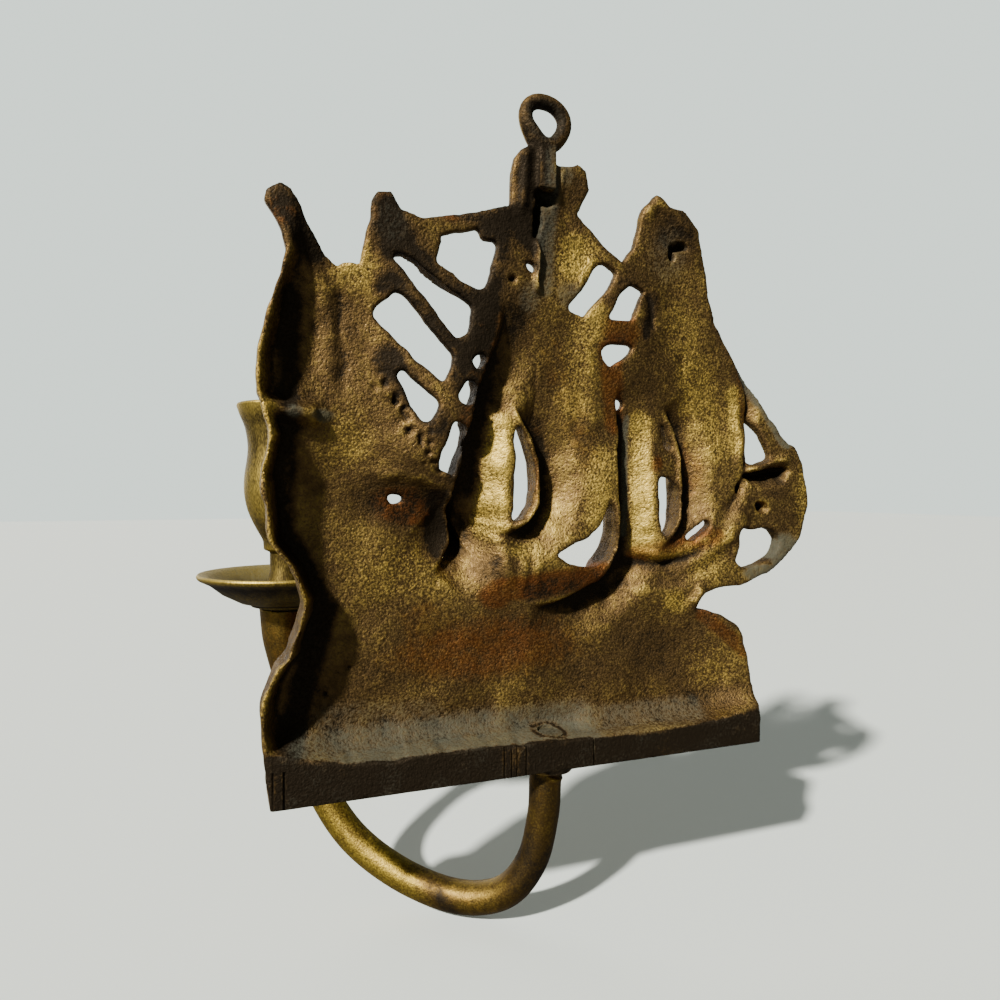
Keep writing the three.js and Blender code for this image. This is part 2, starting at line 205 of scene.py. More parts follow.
# Places shifted a little, each layer a size and a reach
def wander(x, z, layers, seed):
    shiftX, shiftZ = (sum(far * drift(x, z, size, seed + k) for size, far in layers) for k in (0, 1))
    return x + shiftX, z + shiftZ


# A smooth line through its points
def flowThrough(points, steps=6):
    p = np.array(points, float)
    q = np.vstack([2 * p[0] - p[1], p, 2 * p[-1] - p[-2]])
    line = []
    for a, b, c, d in zip(q, q[1:], q[2:], q[3:]):
        for t in np.arange(steps) / steps:
            line.append(0.5 * (2 * b + (c - a) * t + (2 * a - 5 * b + 4 * c - d) * t ** 2
                               + (3 * b - a - 3 * c + d) * t ** 3))
    return np.array(line + [p[-1]])


# Each corner is cut once by at most so many millimetres
def roundCorners(points, cut=0.8):
    loop = np.array(points, float)
    after = np.roll(loop, -1, axis=0)
    length = np.hypot(*(after - loop).T)[:, None]
    step = (after - loop) / length * np.minimum(cut, length * 0.3)
    return np.stack([loop + step, after - step], 1).reshape(-1, 2)


# A cast edge wanders a little on both sides of its line.
def roughen(loop, step=0.6):
    closed = np.vstack([loop, loop[:1]])
    run = np.concatenate([[0], np.cumsum(np.hypot(*np.diff(closed, axis=0).T))])
    marks = np.linspace(0, run[-1], max(8, round(run[-1] / step)), endpoint=False)
    x, z = (np.interp(marks, run, closed[:, k]) for k in (0, 1))
    return np.stack(wander(x, z, plaque["edgeWander"], seed=41), 1)


def edgeDistance(x, z, loops):
    nearest = np.full(x.shape, 1e9)
    for loop in loops:
        closed = np.vstack([loop, loop[:1]])
        nearest = np.minimum(nearest, nearLine(x, z, closed)[0])
    return nearest


# Distance to a line, the side of it, and how far along, from 0 to 1
def nearLine(x, z, line):
    nearest = np.full(x.shape, 1e9)
    side = np.zeros(x.shape)
    along = np.zeros(x.shape)
    for k in range(len(line) - 1):
        ax, az = line[k][:2]
        bx, bz = line[k + 1][:2]
        length = (bx - ax) ** 2 + (bz - az) ** 2
        t = np.clip(((x - ax) * (bx - ax) + (z - az) * (bz - az)) / length, 0, 1)
        dx = x - ax - t * (bx - ax)
        dz = z - az - t * (bz - az)
        distance = np.hypot(dx, dz)
        hand = np.sign((x - ax) * (bz - az) - (z - az) * (bx - ax))
        closer = distance < nearest
        nearest = np.where(closer, distance, nearest)
        side = np.where(closer, hand, side)
        along = np.where(closer, (k + t) / (len(line) - 1), along)
    return nearest, side, along


# The ship's outline and openings, x and z in millimetres

outlineRuns = [
    ("flow", [(84, -196), (85, -181), (84.6, -174), (83, -169.5), (80.4, -165), (77.6, -162), (76, -156),
              (74, -151), (73.2, -146), (76.5, -137), (82.5, -129), (83.5, -120), (84.8, -110), (82.3, -99),
              (86, -87), (85.6, -77), (82, -62), (77.6, -48)]),
    ("straight", [(78.8, -43), (81, -38.6), (83.6, -34.6), (83.2, -32), (79.4, -29.8), (76.7, -31.1),
                  (71.4, -40), (67.2, -46.4), (63.6, -49.8), (61.6, -48.8), (57.4, -49), (56, -46.6),
                  (54.8, -40), (53.6, -30.3), (52, -28), (47.8, -27.4), (45.6, -30), (44.6, -31.8),
                  (38, -33.6), (22, -29.4), (10.2, -26.4), (9.6, -19), (9.2, -11.6), (7.4, -9), (4.4, -7.4),
                  (2.6, -8), (-6, -12), (-12.5, -10.4), (-16.3, -12.6), (-17.2, -18), (-13.2, -25.4),
                  (-18.5, -29.8), (-24, -35.4), (-30, -39.4), (-34.2, -34.4), (-35.8, -29), (-36.2, -23.8),
                  (-37.6, -20), (-41.7, -16.4), (-44.4, -17.2), (-46.4, -19.4), (-52.3, -20), (-55.8, -22.6),
                  (-58.8, -26.6), (-60.6, -31.3), (-62, -37), (-64.5, -48), (-67, -56.4), (-82, -76.5),
                  (-96.4, -95.6)]),
    ("flow", [(-98.2, -98), (-101, -99.5), (-104, -105), (-106, -112), (-107, -118.8), (-105.2, -127.6),
              (-101.4, -135.2), (-95, -141), (-87, -145.4), (-78, -148.6), (-68, -150), (-62.6, -152),
              (-61.6, -157)]),
    ("flow", [(-65, -157.4), (-72.6, -160), (-78.4, -164.8), (-81, -173), (-82.8, -184), (-83.4, -194.4)]),
    ("straight", [(-83.4, -203), (82.8, -203)]),
]

openings = {
    "peak": [(32.6, -37.7), (20.2, -34.2), (19.3, -37.3), (14.2, -38), (15.4, -44), (18, -52.6),
             (20.6, -53.6), (34, -45.8), (33.1, -43.1)],
    "upperBar": [(47.2, -46), (44.6, -44.2), (22, -58.4), (23.4, -66), (27.2, -69), (29.2, -66.8)],
    "middleBar": [(46.2, -55.8), (44.5, -55.8), (28.4, -73.9), (29.4, -77.8), (31.7, -82.1), (33.2, -81.5),
                  (50.4, -65.6), (52.8, -63), (51.8, -60.8)],
    "lowerBar": [(46.2, -80.3), (43.8, -78.4), (32.6, -87.8), (33, -90.8), (35.3, -94.2), (38.4, -94.4),
                 (40.4, -90.7)],
    "lattice": [(22, -74.5), (19.5, -72.4), (17.4, -73), (17.3, -75), (20.2, -78), (21.8, -76.7)],
    "diamond": [(24, -80.6), (20.3, -82.5), (22.1, -88.9), (24.8, -88.3), (27, -86.3)],
    "shroud": [(27.8, -93.4), (23.6, -95.5), (24.4, -101.5), (27.3, -110.4), (32.2, -108.4), (31.2, -101.6)],
    "slit": [(4.2, -42.4), (0.8, -43.4), (1.8, -46.4), (3.7, -45)],
    "cabin": [(47.4, -116.2), (43.8, -116.4), (41.9, -117.5), (42.6, -119), (46.4, -119.4)],
    "mainLeech": [(6, -95.4), (4, -94.2), (1.6, -100), (-0.4, -106.6), (-0.9, -113.4), (0.7, -120),
                  (4, -124.4), (7.2, -124.8), (6.8, -118), (6.4, -105)],
    "mainFoot": [(-27.4, -118.8), (-28.8, -122), (-29.8, -128.4), (-29.4, -134.2), (-27.2, -138.6),
                 (-22.4, -140.8), (-16.8, -140.4), (-12.4, -139.2), (-7.6, -136.4), (-14, -132.6),
                 (-19.6, -130.6), (-24.1, -126)],
    "topsailBay": [(-10.6, -55.2), (-15.8, -49.8), (-20.2, -42.2), (-23, -40.2), (-28, -43.2),
                   (-25.8, -47.2), (-16.4, -58.4), (-11.6, -56.8)],
    "stayBay": [(-34, -46), (-39.2, -48), (-35.2, -53.4), (-34, -58.2), (-25, -58.4), (-28.4, -51)],
    "yardBay": [(-23, -68.4), (-26.4, -66.4), (-35.6, -66), (-34.6, -69), (-27.2, -74), (-23.6, -71.6)],
    "foreNotch": [(-29.4, -84), (-33, -84.4), (-33.4, -87.4), (-30.4, -88)],
    "foreLeechTop": [(-47.9, -91.9), (-49.9, -92.6), (-52.4, -99.1), (-51.4, -101.9), (-49.1, -99.9)],
    "foreLeech": [(-47, -110.6), (-51.4, -110.4), (-54.6, -113.7), (-55.2, -119), (-53.6, -125.3),
                  (-50.2, -131), (-47.4, -130.4), (-46.6, -120)],
    "foreFoot": [(-58, -131.6), (-60, -133.4), (-67, -127), (-65.4, -125.4)],
    "jib": [(-82.2, -89.3), (-84.6, -91.1), (-88, -96.7), (-90.8, -102.5), (-89.4, -105.2),
            (-82.9, -105.3), (-82, -98.6)],
    "scroll": [(-77.7, -129.7), (-79.9, -128.3), (-84.2, -128.7), (-88.6, -128.1), (-93, -129.6),
               (-95.4, -133.3), (-93.2, -137.8), (-87.3, -140.9), (-83, -142.5), (-79, -142.3),
               (-76, -140.3), (-77.3, -137.1), (-78.6, -134.3)],
}

# Hollow back: depth of the metal behind the wall plane at places a caster would set out, (x, z, depth)
floorPlaces = [
    # hull
    (76, -192, 8), (66, -188, 11), (50, -192, 12.4), (10, -192, 13.4), (-10, -192, 13.4), (-30, -192, 12),
    (-62, -192, 9.4), (-82, -190, 4.4), (74, -174, 11), (40, -172, 13.4), (0, -172, 12.8), (-38, -172, 11.8),
    (-64, -174, 10.2), (-80, -174, 4.6), (62, -150, 12.8), (38, -152, 13.6), (8, -156, 13), (-30, -158, 12.2),
    (-58, -160, 9.5), (-72, -162, 5),
    # stern and mizzen
    (66, -135, 12.8), (67.7, -117.7, 12.4), (46, -140, 13), (50, -106, 9.5), (77.5, -94.7, 6.2),
    (73.6, -100.4, 8.6), (70, -109, 11), (58, -92, 8.5), (71, -73, 8.3), (73, -83, 8.1), (69, -61, 7.2),
    (71, -50, 5.8), (60, -76, 8.6), (58, -60, 6.8), (62, -48, 4.6), (50, -46, 3.6), (50, -36, 3),
    (78, -37, 1.2), (73, -43, 2.4),
    # shrouds
    (48, -74, 6), (44, -88, 6), (38, -60, 3.6), (28, -44, 3.4), (24, -34, 3.4), (30, -76, 3.5),
    (22, -78, 3.5), (30, -100, 4.4), (40, -104, 6.4), (30, -130, 14.5),
    # masthead and main topsail
    (4, -12, 1.6), (5, -24, 2.2), (10, -30, 3), (8, -46, 3.6), (-6, -30, 4.4), (-12, -18, 3), (-12, -40, 5.2),
    (-8, -52, 5), (-24, -38, 3.6), (-30, -46, 3.6),
    # main course
    (6, -62, 6.4), (-8, -62, 6.4), (-22, -66, 4.8), (4, -78, 8.6), (-10, -80, 9.6), (-24, -82, 7.6),
    (-12, -100, 10.6), (-25, -102, 8.8), (-11, -118, 10), (-24, -114, 7.2), (-4, -131, 7.2), (8, -138, 8.6),
    (-16, -136, 7.6),
    # fore topsail and fore course
    (-46, -21, 2), (-55, -28, 3), (-50, -46, 6), (-60, -48, 5), (-42, -56, 4.6), (-50, -62, 6.6),
    (-64, -62, 5.2), (-56, -80, 8.4), (-70, -78, 7), (-66, -98, 8.6), (-78, -96, 6), (-64, -114, 8.2),
    (-76, -112, 6), (-66, -126, 6),
    # bow
    (-90, -108, 4.4), (-100, -116, 3.6), (-86, -122, 5), (-100, -132, 3.4), (-84, -144, 4), (-70, -142, 5.6),
    (-60, -146, 7),
]

# Steps in the hollow, where the metal drops from a crest. Each crest is (x, z, drop).
scarps = {
    "mast": {"low": 1, "flat": 4, "width": 18, "crest": [
        (12, -56, 0), (13, -65, 1.8), (15, -71.4, 3.4), (17.6, -77.8, 5), (20.7, -87.1, 6.4),
        (23, -96.3, 7), (24.3, -102.4, 7), (25.3, -108.6, 7.4), (26.6, -114.8, 7.6),
        (27, -121, 8), (25.8, -127.2, 9.4), (25.8, -132, 8), (28.4, -137, 4), (32, -141, 0)]},
    "cabin": {"low": -1, "lip": 4, "flat": 4, "width": 19, "crest": [
        (60, -113.4, 0), (53, -112, 0.8), (44.5, -112, 1.4), (38.3, -113.4, 2), (32, -115.6, 2.8),
        (28, -118, 3.8), (26, -122, 4)]},
    "mainLeech": {"low": 1, "flat": 2.4, "width": 15, "crest": [
        (6.2, -89.8, 0), (4.1, -92.4, 1.6), (1.3, -96, 3), (-1.4, -101.8, 4.4), (-2.8, -108.2, 5),
        (-2.9, -114.8, 5.2), (-1.9, -119.6, 5.2), (0.6, -123.8, 5), (3.8, -126.7, 4), (7.9, -128.4, 2),
        (12.4, -129.4, 0)]},
    "mainFoot": {"low": -1, "flat": 2.6, "width": 17, "crest": [
        (0.8, -153, 0), (-5.2, -152.4, 1.8), (-11.4, -150.8, 3.6), (-18.6, -148.4, 4.8),
        (-25.2, -144.6, 5.6), (-29.9, -138.6, 6), (-31.6, -131.5, 6), (-31.6, -124.8, 5.6),
        (-31.3, -114.8, 5.4), (-31.4, -104.7, 4.8), (-31.2, -94.7, 3.6), (-30.8, -86, 1.8), (-30, -78, 0)]},
    "foreLeech": {"low": 1, "flat": 2.6, "width": 13, "crest": [
        (-48.5, -85.4, 0), (-51.7, -90.5, 2.4), (-54.1, -97.4, 4), (-55.8, -106, 4.8), (-56.4, -114.8, 5),
        (-56, -122.4, 4.6), (-54, -128.7, 3.4), (-50.2, -132.8, 1.6), (-45.4, -135.4, 0)]},
    "foreFoot": {"low": -1, "lip": 1.8, "flat": 2, "width": 12, "crest": [
        (-34.8, -135.7, 0), (-40.4, -138.3, 2.6), (-47, -139, 4.2), (-53.6, -138.5, 4),
        (-59.7, -136.4, 2.8), (-66, -132, 1.4), (-72, -125, 0)]},
    "foreEdge": {"low": 1, "lip": 0.9, "flat": 1, "width": 5, "crest": [
        (-66, -54, 0), (-72.2, -64.3, 1), (-76.4, -71.1, 1.6), (-80.6, -80.3, 2.2), (-81.6, -89.8, 2.4),
        (-81.2, -99.4, 2.2), (-80.4, -106.5, 1.6), (-78, -113.6, 1.4), (-74.5, -118.9, 0.8),
        (-68, -123.6, 0)]},
    "sprit": {"low": -1, "width": 7, "crest": [
        (-80.6, -110.4, 0), (-82, -109, 5), (-90.3, -107.6, 5.5), (-96.6, -106.8, 5), (-99, -107.4, 0)]},
}

# Raised lines and, where the height is below zero, creases: (x, z) along, half width, height.
ridges = [
    # luff strip and lip of the main course, then of the fore course
    (((13.4, -89.6), (10.4, -95.7), (9.4, -111.6), (9.8, -124.3)), 4.2, 0.7),
    (((6.4, -89), (4.6, -93), (2, -97), (-0.6, -103), (-1.8, -109), (-1.8, -115), (-0.6, -120.4),
      (2.6, -125), (8, -127)), 1.7, 1.4),
    (((-44, -92), (-44.6, -111), (-44.2, -132)), 3.4, 0.7),
    (((-48, -87), (-52, -94), (-54, -101), (-55, -108), (-55.6, -115), (-55, -122.4), (-52.6, -128.4)),
     1.5, 1.2),
    # wrinkles where the luff strip meets its foot, and in the fold below
    (((19.6, -124.6), (14, -126.6), (9.6, -127)), 2.0, 0.6),
    (((18.4, -128.6), (13, -130), (8, -130.6)), 2.2, 0.5),
    (((9, -137), (8.4, -146)), 2.6, 0.45),
    (((3.4, -137.6), (3.4, -147.6)), 2.2, 0.5),
    (((-1.6, -138), (-1.2, -148.6)), 2.4, 0.4),
    (((-29.6, -118), (-31, -124), (-31, -132), (-28.8, -139), (-21, -144)), 1.6, 0.9),
    # cracks in the belly of the main course
    (((-1, -76), (-2, -84), (-1, -92)), 0.8, -0.5),
    (((1.6, -80), (1.2, -90)), 0.7, -0.4),
    (((-18, -68), (-21, -84), (-19, -98)), 5.0, 0.5),
    # cabin, bow and bowsprit
    (((53, -110.4), (44.5, -110), (38.3, -111.6), (31, -114.4)), 2.6, 0.6),
    (((29, -114.6), (27, -117), (27.2, -120)), 1.0, 1.2),
    (((-42, -143), (-52, -142.4), (-60, -140), (-68, -135), (-75, -128.4), (-80, -121)), 5.0, 1.8),
    (((-80.6, -108), (-86, -106.4), (-92, -105), (-98.6, -103.8)), 2.4, 1.9),
    (((-63, -149), (-59.6, -154.6)), 3.4, 1.6),
    # stern: web, crease, cast line, and the fold up into the peak
    (((83.6, -91), (76, -92.4), (68, -93)), 4.6, 3.8),
    (((62.4, -56), (61.8, -66), (61.4, -84)), 2.6, -0.5),
    (((65.6, -58), (65, -70), (65.6, -84)), 5.0, 0.6),
    (((80, -33), (76, -41), (70, -52), (66, -60)), 3.6, 0.9),
    # mast post, tang's fillet and the ridge below it
    (((5.6, -8), (6, -16), (6.6, -27)), 2.6, 1.0),
    (((0.2, -35.5), (-0.1, -40.8), (-0.1, -45.5), (0.9, -51.9)), 1.3, 2.2),
    (((-7.4, -13), (-7.2, -24)), 1.2, 0.7),
    (((-7.5, -27), (-12.4, -32)), 0.9, -0.7),
    (((-20, -38), (-13, -50)), 2.0, 0.5),
    # fore topsail: hood, tongue beside the stay, and a seam
    (((-38.6, -24), (-42, -18.6), (-49, -23), (-56, -29)), 3.2, 1.0),
    (((-36.6, -50.6), (-37.4, -58)), 3.0, 0.8),
    (((-40.4, -48.6), (-41.6, -60)), 2.0, -1.0),
    (((-55, -66), (-57, -78)), 0.9, -0.5),
    (((-77, -84), (-78.4, -96), (-78, -106)), 2.4, 0.8),
]

# Pits and blind holes: (x, z), half width and height, depth.
pits = [
    (-2.2, -22.2, 3.8, 2.8, 9), (0.3, -28.6, 1.5, 6.4, 7),
    (-51.4, -32.2, 3.8, 1.5, 5), (-48.8, -34.8, 1.4, 1.9, 4),
    (-87.7, -121.3, 2.6, 1.9, 5), (-78.6, -114.1, 1.4, 2.5, 4),
    (80.6, -32.4, 1.2, 1.0, 1.6), (9.4, -48.6, 1.6, 1.3, 2),
    (58.6, -168, 1.3, 1.0, 1.1), (66, -175, 1.0, 1.2, 0.9), (31, -144, 0.9, 0.9, 1),
]
pitChain = {"from": (50.5, -82), "to": (31.5, -108.8), "count": 34, "spread": 1.7, "seed": 11}

plaque = {
    "sheet": 3.4,             # thickness of the cast metal
    "leastDepth": 1.0,
    "springiness": 60,        # how loosely the hollow follows its places
    "rimLand": 1.0,
    "wallRun": 3.6,
    # size and reach of each unevenness; the last is left by the sand mould
    "edgeWander": ((5.0, 0.45), (2.2, 0.16)),
    "lineWander": ((6.0, 0.9), (2.5, 0.45)),
    "lumps": ((15, 0.5), (7.0, 0.24), (3.2, 0.1)),
    "sandGrain": ((2.2, 0.03), (1.1, 0.03)),
    "cornerSweep": 9.0,       # radius where the hollow runs into the shelf
    "edgeRound": 0.9,
    "cutterReach": 40,
    "slab": (-112, 92, -206, 8),
    "cell": 0.75,
    "voxel": 0.55,
    "smoothing": 1,
    "triangles": 192000,
    "shelf": {"x": (-83.4, 82.8), "y": (-18.5, 0), "z": (-204, -194.4), "rounded": 0.5},
    "lug": {"radius": 7.6, "drop": 1.6},
    "sawMarks": [(79, 0.9, 0.5), (82, 0.7, 0.3), (13.6, 0.7, 0.45), (11.2, 0.6, 0.4), (9.4, 0.6, 0.35),
                 (6.2, 0.9, 0.4), (-17.3, 0.7, 0.55)],   # x, width, depth
    # the ring closes like a drop: (x, z, radius of the rod)
    "ring": [(0.6, -6.4, 3.2), (3.4, -2.8, 2.8), (5.4, 0.4, 2.35), (5.2, 4, 2.25), (2.8, 6.4, 2.3),
             (-0.8, 7.0, 2.3), (-4.6, 5.9, 2.3), (-7.2, 3.2, 2.35), (-7.6, 0, 2.4), (-6.2, -3.2, 2.4),
             (-3.4, -6, 2.5)],
    "ringTall": 2.2,
    "tang": {"x": (-4.3, 1.5), "y": (-4.4, -0.2), "z": (-20.2, -5), "rounded": 0.35},
    "stripTop": [(-80.8, -192.2), (-66, -194.1), (-49.8, -195), (-34, -195.4), (-19, -194.7), (-5, -193.3),
                 (15, -193.1), (31, -193.3), (60.8, -193.2), (74.7, -190.1), (77.4, -189), (84, -188)],
    "rail": {"z": -139, "sheer": 0.0015, "midship": 8, "proud": 2.2, "blend": 7},
    "waves": {"top": -171, "tall": 2.6, "length": 27, "lean": 1.1, "blend": 12},
}

foot = plaque["shelf"]["z"][0]
pivot = {"x": -5, "y": -8, "tenon": 3.6, "bore": 3.9}


def closedOutline():
    loop = []
    for kind, points in outlineRuns:
        loop.extend(flowThrough(points, 8) if kind == "flow" else np.array(points, float))
    kept = [loop[0]]
    for point in loop[1:]:
        if np.hypot(*(point - kept[-1])) > 0.05:
            kept.append(point)
    return np.array(kept)


# A springy sheet laid over the places
def springFit(places, springiness):
    p = np.array(places, float)
    n = len(p)
    apart = (p[:, None, 0] - p[None, :, 0]) ** 2 + (p[:, None, 1] - p[None, :, 1]) ** 2
    system = np.zeros((n + 3, n + 3))
    system[:n, :n] = bend(apart) + np.eye(n) * springiness
    system[:n, n] = system[n, :n] = 1
    system[:n, n + 1:] = p[:, :2]
    system[n + 1:, :n] = p[:, :2].T
    return np.linalg.solve(system, np.concatenate([p[:, 2], np.zeros(3)]))


def bend(squared):
    return squared * np.log(np.maximum(squared, 1e-9))


hollowFit = springFit(floorPlaces, plaque["springiness"])


def hollowFloor(x, z):
    n = len(floorPlaces)
    depth = hollowFit[n] + hollowFit[n + 1] * x + hollowFit[n + 2] * z
    for (px, pz, _), weight in zip(floorPlaces, hollowFit):
        depth = depth + weight * bend((x - px) ** 2 + (z - pz) ** 2)
    return np.maximum(depth, plaque["leastDepth"])


# The drop at the nearest place of a crest, and how far down from it
def crestDrop(x, z, crest, low):
    line = flowThrough(crest)
    distance, side, along = nearLine(x, z, line)
    return np.interp(along * (len(line) - 1), range(len(line)), line[:, 2]), distance * side * low


# Metal drops over the lip, stays low for the flat and has risen again at the width
def scarpDrop(x, z, crest, width, low, lip=0.6, flat=0.6):
    drop, down = crestDrop(x, z, crest, low)
    return np.maximum(drop, 0) * softStep(down, -lip, lip) * fade(down, flat, width)


def ridgeLift(x, z, line, half, height):
    distance, _, along = nearLine(x, z, flowThrough(line, 4))
    ends = softStep(along, 0, 0.12) * softStep(1 - along, 0, 0.12)
    return height * fade(distance, 0, half) * (0.35 + 0.65 * ends)


def pitDepth(x, z, px, pz, halfX, halfZ, deep):
    far = np.hypot((x - px) / halfX, (z - pz) / halfZ)
    return deep * fade(far, 0.45, 1.15)


def chainOfPits():
    chance = np.random.default_rng(pitChain["seed"])
    start, end = np.array(pitChain["from"]), np.array(pitChain["to"])
    for t in np.linspace(0, 1, pitChain["count"]):
        x, z = start + (end - start) * t + chance.normal(0, pitChain["spread"], 2)
        size = chance.uniform(0.6, 1.5)
        yield x, z, size, size * chance.uniform(0.7, 1.4), chance.uniform(0.5, 1.6)


def aboveShelf(x, z):
    return z - np.interp(x, *zip(*plaque["stripTop"]))


# The hollow sweeps round into the top of the shelf, less so beside the riveted tenon.
def sweepToShelf(x, z):
    radius = plaque["cornerSweep"] * (0.4 + 0.6 * softStep(np.abs(x - pivot["x"]), 6, 16))
    left = np.clip(1 - aboveShelf(x, z) / radius, 0, 1)
    return radius * (1 - np.sqrt(1 - left ** 2))


sternRim = outlineRuns[0][1]


# The hollow, with the shelf's back edge standing at the wall
def backDepth(x, z):
    depth = hollowFloor(x, z)
    for size, far in plaque["lumps"]:
        depth = depth + far * drift(x, z, size, round(size * 10)) * softStep(depth, 0, 5)
    wanderX, wanderZ = wander(x, z, plaque["lineWander"], seed=51)
    for scarp in scarps.values():
        depth = depth + scarpDrop((x + wanderX) / 2, (z + wanderZ) / 2, **scarp)
    for line, half, height in ridges:
        depth = depth - ridgeLift(wanderX, wanderZ, line, half, height)
    for pit in [*pits, *chainOfPits()]:
        depth = depth + pitDepth(wanderX, wanderZ, *pit)
    depth = np.maximum(depth - sweepToShelf(x, z), 0.4)
    rim = np.interp(z, [p[1] for p in sternRim], [p[0] for p in sternRim])
    inside = softStep(rim - plaque["rimLand"] - x, -0.6, plaque["wallRun"])
    return depth * inside * softStep(aboveShelf(wanderX, wanderZ), -0.7, 0.3)


# Raised sail edges and the yard on the front: (x, z) along, half width, height.
frontLines = [
    (((-28, -116), (-31.6, -122), (-32.4, -130), (-29.4, -137), (-22, -143)), 3.6, 5.0),
    (((3, -92), (-2.6, -102), (-4, -112), (-2.4, -121), (3, -127)), 3.4, 3.6),
    (((-50, -92), (-55.8, -106), (-57, -117), (-54.6, -127), (-49, -133)), 3.0, 2.4),
    (((48, -44.4), (36.4, -49.4), (30.3, -51.8), (20, -55.6)), 2.6, 4.0),
    (((-45, -137), (-58, -135), (-68, -128), (-76, -119)), 3.0, 1.8),
]


def frontRelief(x, z):
    rail, waves = plaque["rail"], plaque["waves"]
    below = rail["z"] + rail["sheer"] * (x - rail["midship"]) ** 2 - z
    hull = softStep(below, 0, rail["blend"]) * fade(waves["top"] - z, -rail["blend"], 0)
    swell = 0.5 + 0.5 * np.sin((x + waves["lean"] * z) * 2 * math.pi / waves["length"])
    sea = waves["tall"] * swell * softStep(waves["top"] - z, 0, waves["blend"])
    raised = sum(ridgeLift(x, z, *line) for line in frontLines)
    return rail["proud"] * hull + sea + raised


# The front lies one sheet's thickness out from the back, square to it.
def thicken(back, cellX, cellZ):
    sheet = plaque["sheet"]
    front = back + sheet
    reachX, reachZ = int(sheet / cellX), int(sheet / cellZ)
    padded = np.pad(back, ((reachZ, reachZ), (reachX, reachX)), mode="edge")
    rows, columns = back.shape
    for j in range(-reachZ, reachZ + 1):
        for i in range(-reachX, reachX + 1):
            far = math.hypot(i * cellX, j * cellZ)
            if 0 < far < sheet:
                moved = padded[reachZ + j:reachZ + j + rows, reachX + i:reachX + i + columns]
                front = np.maximum(front, moved + math.sqrt(sheet ** 2 - far ** 2))
    return front


def roundedEdge(fromEdge):
    radius = plaque["edgeRound"]
    near = np.clip(1 - fromEdge / radius, 0, 1)
    return radius * (1 - np.sqrt(1 - near ** 2 * 0.98))   # short of a full quarter round


def castSheet(loops):
    x0, x1, z0, z1 = plaque["slab"]
    columns, rows = round((x1 - x0) / plaque["cell"]), round((z1 - z0) / plaque["cell"])
    bpy.ops.mesh.primitive_grid_add(x_subdivisions=columns, y_subdivisions=rows, size=1)
    sheet = nameActive("castSheet")
    inEditMode(sheet, lambda: bpy.ops.mesh.extrude_region_move(TRANSFORM_OT_translate={"value": (0, 0, 1)}))
    flat = readPoints(sheet)
    column = np.rint((flat[:, 0] + 0.5) * columns).astype(int)
    row = np.rint((flat[:, 1] + 0.5) * rows).astype(int)
    isFront = flat[:, 2] > 0.5
    x, z = np.meshgrid(np.linspace(x0, x1, columns + 1), np.linspace(z0, z1, rows + 1))
    back = backDepth(x, z)
    front = thicken(back, (x1 - x0) / columns, (z1 - z0) / rows) + frontRelief(x, z)
    rounding = roundedEdge(edgeDistance(x, z, loops))
    back, front = back + rounding, front - rounding
    depth = np.where(isFront, front[row, column], back[row, column])
    points = np.stack([x[row, column], -depth, z[row, column]], 1) * mm
    writePoints(sheet, points)
    inEditMode(sheet, lambda: bpy.ops.mesh.normals_make_consistent(inside=False))
    return sheet


# A line of a curve along places given as (x, y, z, radius)
def addLine(curve, places, closed):
    line = curve.splines.new("POLY")
    line.points.add(len(places) - 1)
    line.use_cyclic_u = closed
    for point, (x, y, z, radius) in zip(line.points, places):
        point.co = (x * mm, y * mm, z * mm, 1)
        point.radius = radius


def shipCutter(loops):
    curve = bpy.data.curves.new("shipCutter", "CURVE")
    curve.dimensions = "2D"
    curve.fill_mode = "BOTH"
    curve.extrude = plaque["cutterReach"] * mm
    for loop in loops:
        addLine(curve, [(x, z, 0, 1) for x, z in loop], True)
    cutter = addObject("shipCutter", curve)
    cutter.rotation_euler = (math.pi / 2, 0, 0)
    pickOnly(cutter)
    bpy.ops.object.convert(target="MESH")
    settle(cutter)
    inEditMode(cutter, closeSeams)
    return cutter


def block(name, x, y, z, rounded):
    centre = [(low + high) / 2 * mm for low, high in (x, y, z)]
    bpy.ops.mesh.primitive_cube_add(size=1, location=centre)
    piece = nameActive(name)
    piece.scale = [(high - low) * mm for low, high in (x, y, z)]
    settle(piece)
    finishWith(piece, "BEVEL", width=rounded * mm, segments=3)
    return piece


# An upright rod on the arm's pivot
def rod(name, radius, z0, z1):
    middle = (pivot["x"] * mm, pivot["y"] * mm, (z0 + z1) / 2 * mm)
    bpy.ops.mesh.primitive_cylinder_add(vertices=48, radius=radius * mm, depth=(z1 - z0) * mm,
                                        location=middle)
    return nameActive(name)


# A rod of changing thickness
def bentRod(name, places, closed=False):
    curve = bpy.data.curves.new(name, "CURVE")
    curve.dimensions = "3D"
    curve.bevel_depth = mm
    curve.bevel_resolution = 10
    curve.use_fill_caps = not closed
    addLine(curve, places, closed)
    piece = addObject(name, curve)
    pickOnly(piece)
    bpy.ops.object.convert(target="MESH")
    inEditMode(piece, closeSeams)
    return piece


def hangingRing():
    ring = plaque["ring"]
    loop = flowThrough(ring + ring[:1], 6)[:-1]
    places = [(x, -max(plaque["ringTall"], radius), z, radius) for x, z, radius in loop]
    return bentRod("hangingRing", places, closed=True)


